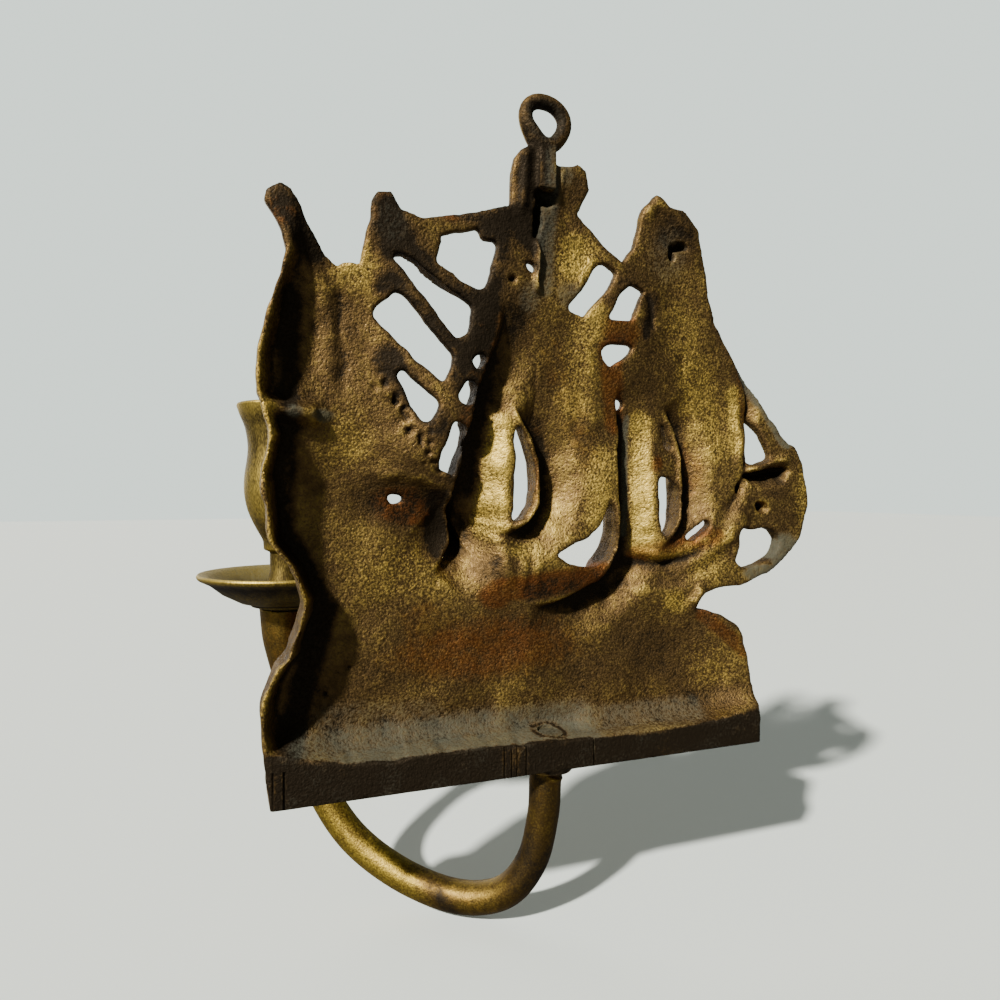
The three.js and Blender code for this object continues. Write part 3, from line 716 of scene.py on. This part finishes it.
def castInOne(piece, name, values):
    finishWith(piece, "REMESH", mode="VOXEL", voxel_size=values["voxel"] * mm)
    finishWith(piece, "SMOOTH", factor=0.5, iterations=values["smoothing"])
    for size, far in values["sandGrain"]:
        texture = bpy.data.textures.new("grain", "CLOUDS")
        texture.noise_scale = size * mm
        texture.noise_depth = 1
        finishWith(piece, "DISPLACE", texture=texture, texture_coords="LOCAL", strength=far * 2 * mm,
                   mid_level=0.5)
    have, most = triangleCount(piece), values["triangles"]
    print(name, "cast in one,", have, "triangles")
    if have > most:
        finishWith(piece, "DECIMATE", ratio=most / have)
    piece.name = piece.data.name = name


def sawMarks():
    z0, z1 = plaque["shelf"]["z"]
    marks = [block("sawMark", (x - wide / 2, x + wide / 2), (-deep, 2), (z0 - 2, z1 + 1.5), 0.1)
             for x, wide, deep in plaque["sawMarks"]]
    weld(marks[0], marks[1:])
    return marks[0]


def makePlaque():
    loops = [roughen(loop) for loop in [closedOutline(), *map(roundCorners, openings.values())]]
    piece = castSheet(loops)
    print("hollow sheet shaped,", triangleCount(piece), "triangles")
    cutWith(piece, shipCutter(loops), "INTERSECT")
    lug = plaque["lug"]
    weld(piece, [block("shelf", **plaque["shelf"]), block("tang", **plaque["tang"]),
                 rod("lug", lug["radius"], foot - lug["drop"], foot + 2), hangingRing()])
    castInOne(piece, "galleonPlaque", plaque)
    cutWith(piece, rod("bore", pivot["bore"], foot - 10, foot + 20), "DIFFERENCE")
    cutWith(piece, sawMarks(), "DIFFERENCE")
    return piece, loops


# How far each point stands out from its neighbours, more than zero on ridges
def ridgeHeight(piece, passes):
    points = readPoints(piece) / mm
    edges = np.empty(len(piece.data.edges) * 2, int)
    piece.data.edges.foreach_get("vertices", edges)
    ends = edges.reshape(-1, 2).T
    count = np.maximum(np.bincount(edges, minlength=len(points)), 1)
    settled = points
    for _ in range(passes):
        total = [np.bincount(ends[0], settled[ends[1], axis], len(points))
                 + np.bincount(ends[1], settled[ends[0], axis], len(points)) for axis in range(3)]
        settled = np.stack(total, 1) / count[:, None]
    return ((points - settled) * readPoints(piece, "normal")).sum(1)


plaquePiece, plaqueLoops = makePlaque()

# Where the old surface shows bright, red, dusty or black. Some bright spots are painted highlights on faces
# turned to the light, and some black ones are painted shadow in the wells.
# A spot is (x, z, half width, half height, strength), a stroke ((x, z), (x, z), half width, strength).
patinaAndPaintedLight = {
    # gold: rubbed bright metal, and painted highlights on the luff strips, ridges and hull faces turned to
    # the light
    "gold": [
        ((11, -95), (14, -126), 6, 0.9), (-14, -40, 10, 10, 0.8), ((-18, -58), (-14, -84), 8, 0.4),
        ((-25, -104), (-22, -126), 6, 0.55), ((-6, -112), (-8, -126), 4, 0.3), (3, -134, 9, 4, 0.5),
        ((-39.5, -92), (-41, -133), 5, 1.2), ((-60, -74), (-68, -100), 9, 0.55),
        ((-76, -80), (-77, -100), 3, 0.9), ((-46, -139), (-72, -131), 3, 0.7), (-66, -141, 9, 8, 0.5),
        (-67, -176, 12, 12, 0.4), (-54, -154, 6, 5, 0.9), (58, -50, 9, 7, 0.5), (60, -100, 10, 12, 0.3),
        (40, -140, 20, 12, 0.35), (-54, -62, 9, 12, 0.3), ((-105, -108), (-104, -124), 3, 0.5),
    ],
    "red": [
        (44, -119, 12, 8, 1.0), (40, -121, 9, 6, 1.7), (33, -122, 6, 8, 0.9),
        ((10, -147), (-26, -143), 6, 1.1), (12, -149, 8, 6, 1.2), (-30, -62, 10, 9, 1.1),
        ((-26, -68), (-30, -92), 6, 1.1), (30, -31, 7, 4, 0.8), (14, -166, 46, 15, 0.9),
        (34, -156, 14, 10, 0.6), ((-64, -158), (-80, -172), 4, 0.9), ((-40, -137), (-68, -131), 5, 0.9),
        (-46, -106, 3.4, 5, 1.0), (50, -33, 5, 8, 0.6), (79, -38, 6, 6, 0.8), ((16, -60), (24, -100), 6, 0.7),
        (-20, -150, 12, 6, 0.5), ((-2, -96), (-3, -120), 4, 0.6), ((-78, -70), (-82, -104), 3, 0.7),
        (-60, -108, 10, 16, 0.6), ((-6, -70), (-20, -104), 8, 0.5), (32, -72, 6, 20, 0.4),
    ],
    "dust": [
        ((72, -192), (-18, -192), 10, 0.85), ((-18, -192), (-60, -191), 6, 0.7), (75.5, -92.4, 4, 3, 0.9),
        (67, -93, 5, 3, 1.0), ((77, -194), (-18, -194.6), 3.6, 1.2), (-97, -138, 9, 10, 1.5),
        (-88, -144.6, 12, 4, 1.5), ((-71, -57), (-97, -97), 4, 1.5), ((-4, -10), (-2, -50), 5, 0.8),
        (3, -54, 6, 8, 0.75), (-12, -52, 9, 7, 0.75), (-47, -36, 12, 15, 0.6),
        ((-35.4, -90), (-35.6, -130), 1.8, 1.0), ((66, -184), (34, -186), 9, 0.6), (-57, -120, 0.7, 0.7, 1.3),
        (-8, -14, 5, 6, 0.8), (48, -36, 9, 10, 0.5), (0, 0, 10, 10, 0.55),
    ],
    # dark: dark patina on the ring, tang and lattice, and painted shadow in the mast band, the pool below it,
    # the stern wall and under the sails' feet
    "dark": [
        ((76, -60), (78, -130), 4, 0.8), ((76, -130), (66, -150), 4, 0.8), ((66, -150), (78, -192), 5, 0.9),
        (-3, -22, 7, 9, 0.7), (0, 0, 12, 12, 1.3), ((3, -6), (3, -34), 7, 1.1),
        ((-14, -12), (-14, -28), 5, 0.35), ((52, -28), (0, -30), 6, 0.85), ((54, -28), (22, -84), 9, 0.7),
        ((16, -34), (24, -112), 8, 0.85), ((46, -44), (22, -60), 7, 0.95), ((48, -54), (24, -76), 6, 0.9),
        ((48, -76), (32, -96), 6, 0.8), (43, -120, 13, 8, 0.5), (30, -128, 5, 7, 0.8), (48, -34, 6, 8, 0.8),
        ((82, -30), (70, -46), 6, 0.8), (-50, -28, 11, 10, 0.6), ((-67, -54), (-80, -76), 4, 0.5),
        (-30, -50, 11, 9, 0.6), (-28, -68, 8, 6, 0.8), (-92, -112, 8, 8, 0.5), (60, -176, 14, 12, 0.3),
        (62, -72, 8, 18, 0.3), (-30, -176, 30, 7, 0.25), (-50, -172, 28, 14, 0.3), (8, -60, 6, 12, 0.5),
        ((-42, -50), (-40, -62), 3, 0.7), ((0, -147), (-24, -145), 5, 0.6), ((31, -118), (30, -133), 6, 0.8),
        (13, -140, 9, 6, 0.45), ((-18, -153), (-34, -146), 4, 0.5), ((-32, -90), (-36, -132), 2, 0.5),
    ],
}


def paint(places, x, z):
    amount = np.zeros(x.shape)
    for place in places:
        if np.ndim(place[0]):
            start, end, half, strength = place
            far = nearLine(x, z, (start, end))[0] / half
        else:
            px, pz, halfX, halfZ, strength = place
            far = np.hypot((x - px) / halfX, (z - pz) / halfZ)
        amount = np.maximum(amount, strength * fade(far, 0.35, 1.15))
    return amount


# Painted shadow: dark just below each crest, stronger the deeper its drop
def scarpShade(x, z):
    shade = np.zeros(x.shape)
    for scarp in scarps.values():
        drop, down = crestDrop(x, z, scarp["crest"], scarp["low"])
        near = softStep(down, -0.5, 0.7) * fade(down, 1, scarp["width"] / 2)
        shade = np.maximum(shade, np.clip(drop / 6, 0, 1) * near)
    return shade


# How strong the marks of the years are, and the painted shadow and highlight
plaqueAgeAndPaintedLight = {
    "shadowUnderCrests": 0.9,       # painted shadow below each crest, where the metal drops
    "frontGold": 0.25,        # on what faces away from the wall
    "shelfDust": 0.3,
    "rimGoldAndHighlight": 0.55,       # the stern's rim, which touches the wall, rubbed bright, with a painted highlight on it
    "rimWearAndHighlight": 0.6,
    "headDirt": 0.7,          # round the peened head of the tenon
    "rimDirt": 0.35,
    "wearOnRidges": (0.5, 0.35),      # fine ones, broad ones
    "dirtInHollows": (0.5, 0.8),
}


def markPlaque(piece, loops):
    howMuch = plaqueAgeAndPaintedLight
    x, y, z = readPoints(piece).T / mm
    normals = readPoints(piece, "normal")
    facingWall = softStep(np.maximum(normals[:, 1], 0.9 * normals[:, 2]), -0.3, 0.3)
    gold, red, dust, dark = (paint(patinaAndPaintedLight[kind], x, z) * (0.25 + 0.75 * facingWall)
                             for kind in ("gold", "red", "dust", "dark"))
    # painted shadow below the crests
    dark = np.maximum(dark, howMuch["shadowUnderCrests"] * scarpShade(x, z) * facingWall)
    # the back edge of the shelf
    strip = softStep(y, -1.6, -0.9) * softStep(-aboveShelf(x, z), -0.3, 0.3)
    dark = np.maximum(dark, strip * (1 - 0.35 * softStep(drift(x, z, 9, 71), 0.2, 0.9)))
    gold, red, dust = (mask * (1 - strip) for mask in (gold, red, dust))
    dust = dust + strip * (howMuch["shelfDust"] + 0.2 * drift(x, z, 7, 72))
    gold = np.maximum(gold * (1 - dark), howMuch["frontGold"] * (1 - facingWall))
    # the stern's rim, rubbed bright, with a painted highlight along its crest
    alongStern = softStep(x, 62, 68) * softStep(z, -188, -170) * fade(z, -78, -56)
    rubbedAndLit = softStep(y, -3.4, -1.2) * alongStern * (0.65 + 0.45 * drift(x, z, 6, 73))
    gold = np.maximum(gold, howMuch["rimGoldAndHighlight"] * rubbedAndLit)
    dark = dark * (1 - rubbedAndLit)
    # dirt round the peened head of the tenon
    nearShelf = fade(np.abs(aboveShelf(x, z)), 0.6, 3)
    fromHead = np.hypot(x - pivot["x"], y - pivot["y"])
    headRing = softStep(fromHead, 3.8, 4.6) * fade(fromHead, 5.2, 6.8)
    headRing = headRing * softStep(normals[:, 2], 0.3, 0.8) * nearShelf
    dark = np.maximum(dark, howMuch["headDirt"] * headRing)
    dust = dust * (1 - 0.8 * headRing)
    # ridges worn bright, hollows and the rim of the openings dirty
    rim = fade(edgeDistance(x, z, loops), 0.3, 2.0)
    fine, broad = ridgeHeight(piece, 4), ridgeHeight(piece, 24)
    onFine, onBroad = howMuch["wearOnRidges"]
    wear = (softStep(fine, 0.02, 0.2) * onFine + softStep(broad, 0.1, 0.9) * onBroad) * (1 - 0.7 * rim)
    wear = np.maximum(wear * (1 - 0.85 * nearShelf), howMuch["rimWearAndHighlight"] * rubbedAndLit)
    dark = np.maximum(dark, howMuch["rimDirt"] * rim * facingWall * (1 - rubbedAndLit))
    inFine, inBroad = howMuch["dirtInHollows"]
    cavity = softStep(-fine, 0.03, 0.3) * inFine + softStep(-broad, 0.15, 1.2) * inBroad
    writeMasks(piece, gold=gold, red=red, dust=dust, dark=dark, wear=wear, cavity=cavity)


markPlaque(plaquePiece, plaqueLoops)
print("plaque ready,", triangleCount(plaquePiece), "triangles")


# Candle arm

armTurn = math.radians(52)
armReach = 98.6

candleArm = {
    # out along the arm, up from the foot of the shelf, radius of the rod
    "route": [(0, -1.9, 5.3), (1.2, -4.5, 5.3), (2, -17, 5.2), (6, -33, 5.2), (15.6, -44.8, 5.3),
              (32, -48.8, 5.4), (52.5, -44.6, 5.4), (71.5, -34, 5.4), (84.5, -18, 5.3), (92.6, 1, 5.2),
              (97.2, 20, 5.6), (armReach, 35, 8.2), (armReach, 46.5, 9.4)],
    "headGap": 0.3,           # between the shelf and the peened head
    "headRadius": 4.8,
    "headTall": 0.55,
    "voxel": 0.5,
    "smoothing": 3,
    "sandGrain": (),
    "triangles": 90000,
}


def armPoint(out, z):
    return (pivot["x"] + out * math.sin(armTurn), pivot["y"] - out * math.cos(armTurn), z)


def makeArm():
    route = flowThrough(candleArm["route"], 10)
    piece = bentRod("armRod", [(*armPoint(out, foot + up), radius) for out, up, radius in route])
    top = plaque["shelf"]["z"][1] + candleArm["headGap"]
    tenon = rod("tenon", pivot["tenon"], foot - 5, top + 0.1)
    head = rod("head", candleArm["headRadius"], top, top + candleArm["headTall"])
    finishWith(head, "BEVEL", width=0.35 * mm, segments=3)
    weld(piece, [tenon, head])
    castInOne(piece, "candleArm", candleArm)
    return piece


# How strong the marks of the years are, and the painted highlight and shade
armAgeAndPaintedLight = {
    "gold": 0.2,
    "bendHighlight": 0.75,         # painted highlight, more of it from the bend on
    "streaks": 0.28,
    "patches": 0.3,
    "neckDirtAndShade": 0.5,          # by the shelf: dirt, and painted shade along the first stretch
    "patchDirt": 0.6,
    "copper": 0.5,
    "headDust": 0.9,
    "tipCopper": (0.5, 0.6),  # all round, and more on the bow's side
    # painted shade on the tip's side turned from the light
    "tipShade": 0.5,
}


def markArm(piece):
    howMuch = armAgeAndPaintedLight
    x, y, z = readPoints(piece).T / mm
    normals = readPoints(piece, "normal")
    out = (x - pivot["x"]) * math.sin(armTurn) - (y - pivot["y"]) * math.cos(armTurn)
    sideways = normals[:, 0] * math.cos(armTurn) + normals[:, 1] * math.sin(armTurn)
    streak = drift(np.arctan2(sideways, normals[:, 2]) * 7, (out - z) * 0.09, 1, 62)
    patch = drift(out - z, x + y, 9, 63)
    # a painted highlight from the bend on
    gold = howMuch["gold"] + howMuch["bendHighlight"] * softStep(out, 34, 58)
    gold = gold + howMuch["streaks"] * streak + howMuch["patches"] * patch
    # dirt by the shelf with painted shade along the first stretch, and dark patches
    dark = np.maximum(howMuch["neckDirtAndShade"] * fade(out, 4, 26) + 0.25 * streak,
                      howMuch["patchDirt"] * softStep(-patch, 0.3, 0.8) * fade(out, 30, 60))
    red = howMuch["copper"] * softStep(drift(x * 1.3, z, 14, 61), 0, 0.8)
    headDust = howMuch["headDust"] * softStep(z, foot + 6, foot + 9) * fade(out, 8, 12)
    tip = softStep(z, foot + 14, foot + 24) * softStep(out, 80, 90)
    gold = gold * (1 - 0.8 * tip)
    around, more = howMuch["tipCopper"]
    red = np.maximum(red, tip * (around + more * softStep(-normals[:, 0], -0.3, 0.5)))
    # painted shade on the tip's side turned from the light
    dark = np.maximum(dark, howMuch["tipShade"] * tip * softStep(-normals[:, 0], 0, 0.8))
    wear = softStep(ridgeHeight(piece, 6), 0.02, 0.3)
    writeMasks(piece, gold=gold, red=red, dust=headDust, dark=dark, wear=wear)


armPiece = makeArm()
markArm(armPiece)
print("arm ready,", triangleCount(armPiece), "triangles")


# Turned pan and cup, heights from the rim

dripPan = {
    "rimZ": -144.2,
    "gold": (0.4, 0.5),       # all over, and more on its edges
    "undersideShade": (1.1, 0),         # painted shade on what faces down, and below which height
    "copper": (0.35, -9),     # and below which height
    "dust": 0.8,              # on what faces up
    "profile": [(0, -13), (9.4, -13), (12.2, -12.2), (12.4, -11.6), (16, -10.6), (22, -7.4), (26.4, -3.8),
                (30, -2), (30.6, -1), (30, 0), (26.6, -1.4), (22, -5), (16, -8.2), (9, -9.6), (0, -9.8)],
}

candleCup = {
    "rimZ": -83.5,
    "gold": (0.4, 0.5),
    "undersideShade": (1.1, -66),
    "copper": (0.35, -56),
    "dust": 0,
    "profile": [(0, -70.2), (7.6, -70.2), (6.8, -66), (5.6, -60), (5.6, -53.6), (7.7, -52.6), (7.9, -49.8),
                *flowThrough([(8.3, -48.6), (10.8, -44), (13.2, -38.4), (14.4, -32), (14.3, -26), (13.4, -20),
                              (13.1, -15), (14, -8.8), (15.8, -4.2)], 3).tolist(),
                (16.8, -1.2), (16.8, -0.5), (16.2, 0), (15, -0.6), (12.4, -7), (11.2, -13), (11.2, -39.6),
                (10.2, -41), (0, -41)],
}


def turnOnLathe(name, values):
    ax, ay, _ = [v * mm for v in armPoint(armReach, 0)]
    rings = [(max(r, 0.02) * mm, (values["rimZ"] + z) * mm) for r, z in values["profile"]]
    bpy.ops.mesh.primitive_circle_add(vertices=96, radius=rings[0][0], location=(ax, ay, rings[0][1]))
    piece = nameActive(name)
    settle(piece)

    def pullRings():
        bpy.ops.mesh.edge_face_add()
        bpy.ops.mesh.select_mode(type="EDGE")
        for (r0, z0), (r1, z1) in zip(rings, rings[1:]):
            bpy.ops.mesh.extrude_region_move(TRANSFORM_OT_translate={"value": (0, 0, z1 - z0)})
            bpy.ops.transform.resize(value=(r1 / r0, r1 / r0, 1), center_override=(ax, ay, z1))
        bpy.ops.mesh.select_all(action="SELECT")
        closeSeams(5e-6)

    inEditMode(piece, pullRings)
    finishWith(piece, "BEVEL", width=0.4 * mm, segments=2, limit_method="ANGLE", angle_limit=math.radians(25))
    return piece


def markTurned(piece, values):
    z = readPoints(piece)[:, 2] / mm - values["rimZ"]
    up = readPoints(piece, "normal")[:, 2]
    edge = softStep(ridgeHeight(piece, 3), 0.02, 0.25)
    gold, edgeGold = values["gold"]
    undersideShade, shadeBelow = values["undersideShade"]
    copper, copperBelow = values["copper"]
    # painted shade on what faces down
    dark = undersideShade * softStep(-up, 0.15, 0.6) * softStep(shadeBelow - z, 0, 4)
    red = copper * softStep(copperBelow - z, 0, 8)
    dust = values["dust"] * softStep(up, 0.5, 0.9)
    writeMasks(piece, gold=gold + edgeGold * edge, red=red, dust=dust, dark=dark, wear=edge)


panPiece, cupPiece = turnOnLathe("dripPan", dripPan), turnOnLathe("candleCup", candleCup)
markTurned(panPiece, dripPan)
markTurned(cupPiece, candleCup)
print("pan and cup turned,", triangleCount(panPiece), triangleCount(cupPiece), "triangles")


# Finishes

def addNode(nodes, kind, **settings):
    node = nodes.new(kind)
    for name, value in settings.items():
        setattr(node, name, value)
    return node


def newGroup(name, inputs, outputs):
    group = bpy.data.node_groups.new(name, "ShaderNodeTree")
    for label, kind, value in inputs:
        socket = group.interface.new_socket(name=label, in_out="INPUT", socket_type="NodeSocket" + kind)
        if value is not None:
            socket.default_value = value
    for label, kind in outputs:
        group.interface.new_socket(name=label, in_out="OUTPUT", socket_type="NodeSocket" + kind)
    return group


oldSurface = {
    "mottleScale": 330,
    "fleckScale": 900,
    "roughness": 0.42,
    "metallic": 0.98,
    "mostCopper": 0.75,
    "mostDust": 0.88,
    "metal": {"Bright": (0.75, 0.53, 0.20), "GiltAndHighlight": (0.7, 0.48, 0.05), "Tarnish": (0.12, 0.075, 0.028)},
    "grimeAndShade": {"DirtAndShade": (0.026, 0.018, 0.0095), "Copper": (0.19, 0.06, 0.015), "Chalk": (0.058, 0.06, 0.038)},
    "masks": ("Gold", "Red", "Dust", "Dark", "Wear", "Cavity"),
    "sizes": {"Cloud Size": 60.0, "Grain Size": 1500.0, "Grain Contrast": 1.0},
}


# Old cast brass: bright where rubbed, then tarnish, copper red, dirt and chalky dust over it. The Gold mask
# also lays on painted highlights, and the Dark mask painted shade in the dirt colour.
def oldBrassGroup():
    colors = {**oldSurface["metal"], **oldSurface["grimeAndShade"]}
    inputs = [("Position", "Vector", None)]
    inputs += [(label, "Color", (*color, 1)) for label, color in colors.items()]
    inputs += [(label, "Float", 0.0) for label in oldSurface["masks"]]
    inputs += [(label, "Float", value) for label, value in oldSurface["sizes"].items()]
    outputs = [("Color", "Color"), ("Roughness", "Float"), ("Metallic", "Float"), ("Height", "Float")]
    group = newGroup("oldBrass", inputs, outputs)
    nodes, links = group.nodes, group.links
    given = addNode(nodes, "NodeGroupInput").outputs
    result = addNode(nodes, "NodeGroupOutput").inputs

    def plug(value, socket):
        if isinstance(value, (int, float)):
            socket.default_value = value
        else:
            links.new(value, socket)

    def wire(node, output, **values):
        for label, value in values.items():
            plug(value, node.inputs[label])
        return node.outputs[output]

    def noise(scale, detail, roughness):
        node = addNode(nodes, "ShaderNodeTexNoise")
        return wire(node, "Fac", Vector=given["Position"], Scale=scale, Detail=detail, Roughness=roughness)

    def blend(factor, a, b):
        node = addNode(nodes, "ShaderNodeMix", data_type="RGBA")
        return wire(node, "Result", Factor=factor, A=a, B=b)

    def spread(value, low, high, toLow=0.0, toHigh=1.0):
        node = addNode(nodes, "ShaderNodeMapRange", interpolation_type="SMOOTHSTEP")
        for socket, number in zip(node.inputs, (value, low, high, toLow, toHigh)):
            plug(number, socket)
        return node.outputs["Result"]

    def work(operation, a, b):
        node = addNode(nodes, "ShaderNodeMath", operation=operation)
        plug(a, node.inputs[0])
        plug(b, node.inputs[1])
        return node.outputs[0]

    # values times their weights, added up
    def total(*parts):
        value = work("MULTIPLY", *parts[0])
        for part in parts[1:]:
            value = work("ADD", value, work("MULTIPLY", *part))
        return value

    contrast = given["Grain Contrast"]
    cloud = noise(given["Cloud Size"], 4, 0.6)
    mottle = noise(oldSurface["mottleScale"], 4, 0.6)
    fleck = noise(oldSurface["fleckScale"], 3, 0.6)
    speck = noise(given["Grain Size"], 2, 0.5)
    offMiddle = work("SUBTRACT", speck, 0.5)
    speckle = work("MULTIPLY", offMiddle, contrast)
    speckle = work("MULTIPLY", speckle, work("SUBTRACT", 1.0, work("MULTIPLY", given["Dark"], 0.6)))
    brightness = total((cloud, 0.6), (mottle, 0.5), (fleck, 0.26), (speckle, 0.5), (given["Wear"], 0.28),
                       (given["Gold"], 0.3), (given["Dark"], -0.5), (given["Cavity"], -0.34))
    sparkle = spread(total((fleck, 0.35), (speck, 0.65)), 0.48, 0.68)
    sparkle = work("MULTIPLY", sparkle, work("MULTIPLY", given["Gold"], contrast))
    golden = work("MINIMUM", total((spread(brightness, 0.55, 1.3), 1.0), (sparkle, 0.75)), 1.0)
    specks = total((fleck, 0.5), (speck, 0.5))
    grimyAndShaded = work("MAXIMUM", spread(brightness, 0.62, 0.28), spread(specks, 0.44, 0.3, 0.0, 0.5))
    copper = total((given["Red"], 0.8), (mottle, 0.9), (fleck, 0.5))
    coppery = spread(copper, 0.95, 1.7, 0.0, oldSurface["mostCopper"])
    powder = spread(total((fleck, 0.6), (speck, 0.4)), 0.4, 0.6)
    dust = total((given["Dust"], 1.0), (mottle, 0.4), (powder, 0.3))
    dusty = spread(dust, 0.68, 1.5, 0.0, oldSurface["mostDust"])
    color = blend(golden, given["Tarnish"], blend(given["Gold"], given["Bright"], given["GiltAndHighlight"]))
    for amount, label in ((coppery, "Copper"), (grimyAndShaded, "DirtAndShade"), (dusty, "Chalk")):
        color = blend(amount, color, given[label])
    glitter = work("MULTIPLY", offMiddle, work("MULTIPLY", contrast, 0.85))
    rough = total((dusty, 0.3), (grimyAndShaded, 0.06), (given["Dark"], 0.08), (glitter, 1.0), (contrast, 0.12))
    dull = total((dusty, 0.85), (grimyAndShaded, 0.12))
    plug(color, result["Color"])
    plug(work("ADD", rough, oldSurface["roughness"]), result["Roughness"])
    plug(work("SUBTRACT", oldSurface["metallic"], dull), result["Metallic"])
    plug(total((mottle, 0.9), (fleck, 0.9), (speck, 0.55), (grimyAndShaded, -0.1)), result["Height"])
    return group


oldBrass = oldBrassGroup()


finishes = {
    "plaqueBrass": {
        "Bright": (0.61, 0.435, 0.105), "GiltAndHighlight": (0.66, 0.48, 0.105), "Tarnish": (0.132, 0.082, 0.032),
        "Cloud Size": 60, "Grain Size": 1500, "Grain Contrast": 1.2,
        "stretch": (1, 1, 1), "bump": 0.32},
    "armBrass": {
        "Bright": (0.42, 0.29, 0.06), "GiltAndHighlight": (0.455, 0.33, 0.05), "Tarnish": (0.1, 0.062, 0.018),
        "Cloud Size": 50, "Grain Size": 1800, "Grain Contrast": 0.5,
        "stretch": (1, 1, 1), "bump": 0.08},
    "turnedBrass": {
        "Bright": (0.38, 0.28, 0.075), "GiltAndHighlight": (0.42, 0.31, 0.065), "Tarnish": (0.095, 0.068, 0.024),
        "Cloud Size": 90, "Grain Size": 1800, "Grain Contrast": 0.6,
        "stretch": (1.5, 1.5, 0.4), "bump": 0.06},
}


def openNodes(holder):
    holder.use_nodes = True
    return holder.node_tree.nodes, holder.node_tree.links


def brassMaterial(name, masks):
    values = finishes[name]
    material = bpy.data.materials.new(name)
    nodes, links = openNodes(material)
    shader = nodes["Principled BSDF"].inputs
    finish = addNode(nodes, "ShaderNodeGroup", node_tree=oldBrass)
    place = addNode(nodes, "ShaderNodeTexCoord")
    drawn = addNode(nodes, "ShaderNodeVectorMath", operation="MULTIPLY")
    drawn.inputs[1].default_value = values["stretch"]
    links.new(place.outputs["Object"], drawn.inputs[0])
    links.new(drawn.outputs["Vector"], finish.inputs["Position"])
    for label in oldSurface["metal"]:
        finish.inputs[label].default_value = (*values[label], 1)
    for label in oldSurface["sizes"]:
        finish.inputs[label].default_value = values[label]
    for label in masks:
        mask = addNode(nodes, "ShaderNodeAttribute", attribute_name=label.lower())
        links.new(mask.outputs["Fac"], finish.inputs[label])
    bump = addNode(nodes, "ShaderNodeBump")
    bump.inputs["Strength"].default_value = 1
    bump.inputs["Distance"].default_value = values["bump"] * mm
    links.new(finish.outputs["Height"], bump.inputs["Height"])
    links.new(bump.outputs["Normal"], shader["Normal"])
    for output, label in (("Color", "Base Color"), ("Roughness", "Roughness"), ("Metallic", "Metallic")):
        links.new(finish.outputs[output], shader[label])
    return material


plaqueBrass = brassMaterial("plaqueBrass", oldSurface["masks"])
armBrass = brassMaterial("armBrass", oldSurface["masks"][:-1])
turnedBrass = brassMaterial("turnedBrass", oldSurface["masks"][:-1])

dressing = [
    (plaquePiece, plaqueBrass, "plaque", "galleon_plaque", "plaque_brass"),
    (armPiece, armBrass, "arm", "candle_arm", "arm_brass"),
    (panPiece, turnedBrass, "arm", "drip_pan", "turned_brass"),
    (cupPiece, turnedBrass, "arm", "candle_cup", "turned_brass"),
]
for piece, material, body, node, slot in dressing:
    piece.data.materials.clear()
    piece.data.materials.append(material)
    pickOnly(piece)
    bpy.ops.object.shade_smooth_by_angle(angle=math.radians(40))
    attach(piece, body)
    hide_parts(node)
print("finishes laid on")


# Studio

# The floor is seen pale and throws little light up, as a matt sweep does.
def floorMaterial():
    material = bpy.data.materials.new("studioFloor")
    nodes, links = openNodes(material)
    shader = nodes["Principled BSDF"]
    shader.inputs["Roughness"].default_value = 0.8
    path = addNode(nodes, "ShaderNodeLightPath")
    seen = addNode(nodes, "ShaderNodeMix", data_type="RGBA")
    seen.inputs["A"].default_value = studio["floorBounce"]
    seen.inputs["B"].default_value = studio["floorColor"]
    links.new(path.outputs["Is Camera Ray"], seen.inputs["Factor"])
    links.new(seen.outputs["Result"], shader.inputs["Base Color"])
    return material


def shine(name, part):
    light = bpy.data.lights.new(name, "SUN")
    light.angle = math.radians(studio[part + "Softness"])
    light.energy = studio[part + "Strength"]
    light.color = studio["keyColor"]
    lamp = addObject(name, light)
    towards = Vector(studio[part + "From"]).normalized()
    lamp.matrix_world = Matrix.Translation(towards) @ towards.to_track_quat("Z", "Y").to_matrix().to_4x4()


def makeStudio():
    lowest = cadBox[0][2] - studio["floorGap"]
    bpy.ops.mesh.primitive_plane_add(size=studio["floorSize"], location=(0, 0, lowest))
    floor = nameActive("studioFloor")
    settle(floor)
    floor.data.materials.append(floorMaterial())

    shine("keyLight", "key")
    shine("fillLight", "fill")

    # The sky lights softly and is seen pale.
    world = bpy.data.worlds.new("studioSky")
    nodes, links = openNodes(world)
    sky = nodes["Background"]
    sky.inputs["Color"].default_value = studio["skyColor"]
    path = addNode(nodes, "ShaderNodeLightPath")
    strength = addNode(nodes, "ShaderNodeMapRange")
    strength.inputs["To Min"].default_value = studio["skyStrength"]
    strength.inputs["To Max"].default_value = studio["skySeen"]
    links.new(path.outputs["Is Camera Ray"], strength.inputs["Value"])
    links.new(strength.outputs["Result"], sky.inputs["Strength"])
    bpy.context.scene.world = world


makeStudio()
print("studio lit")
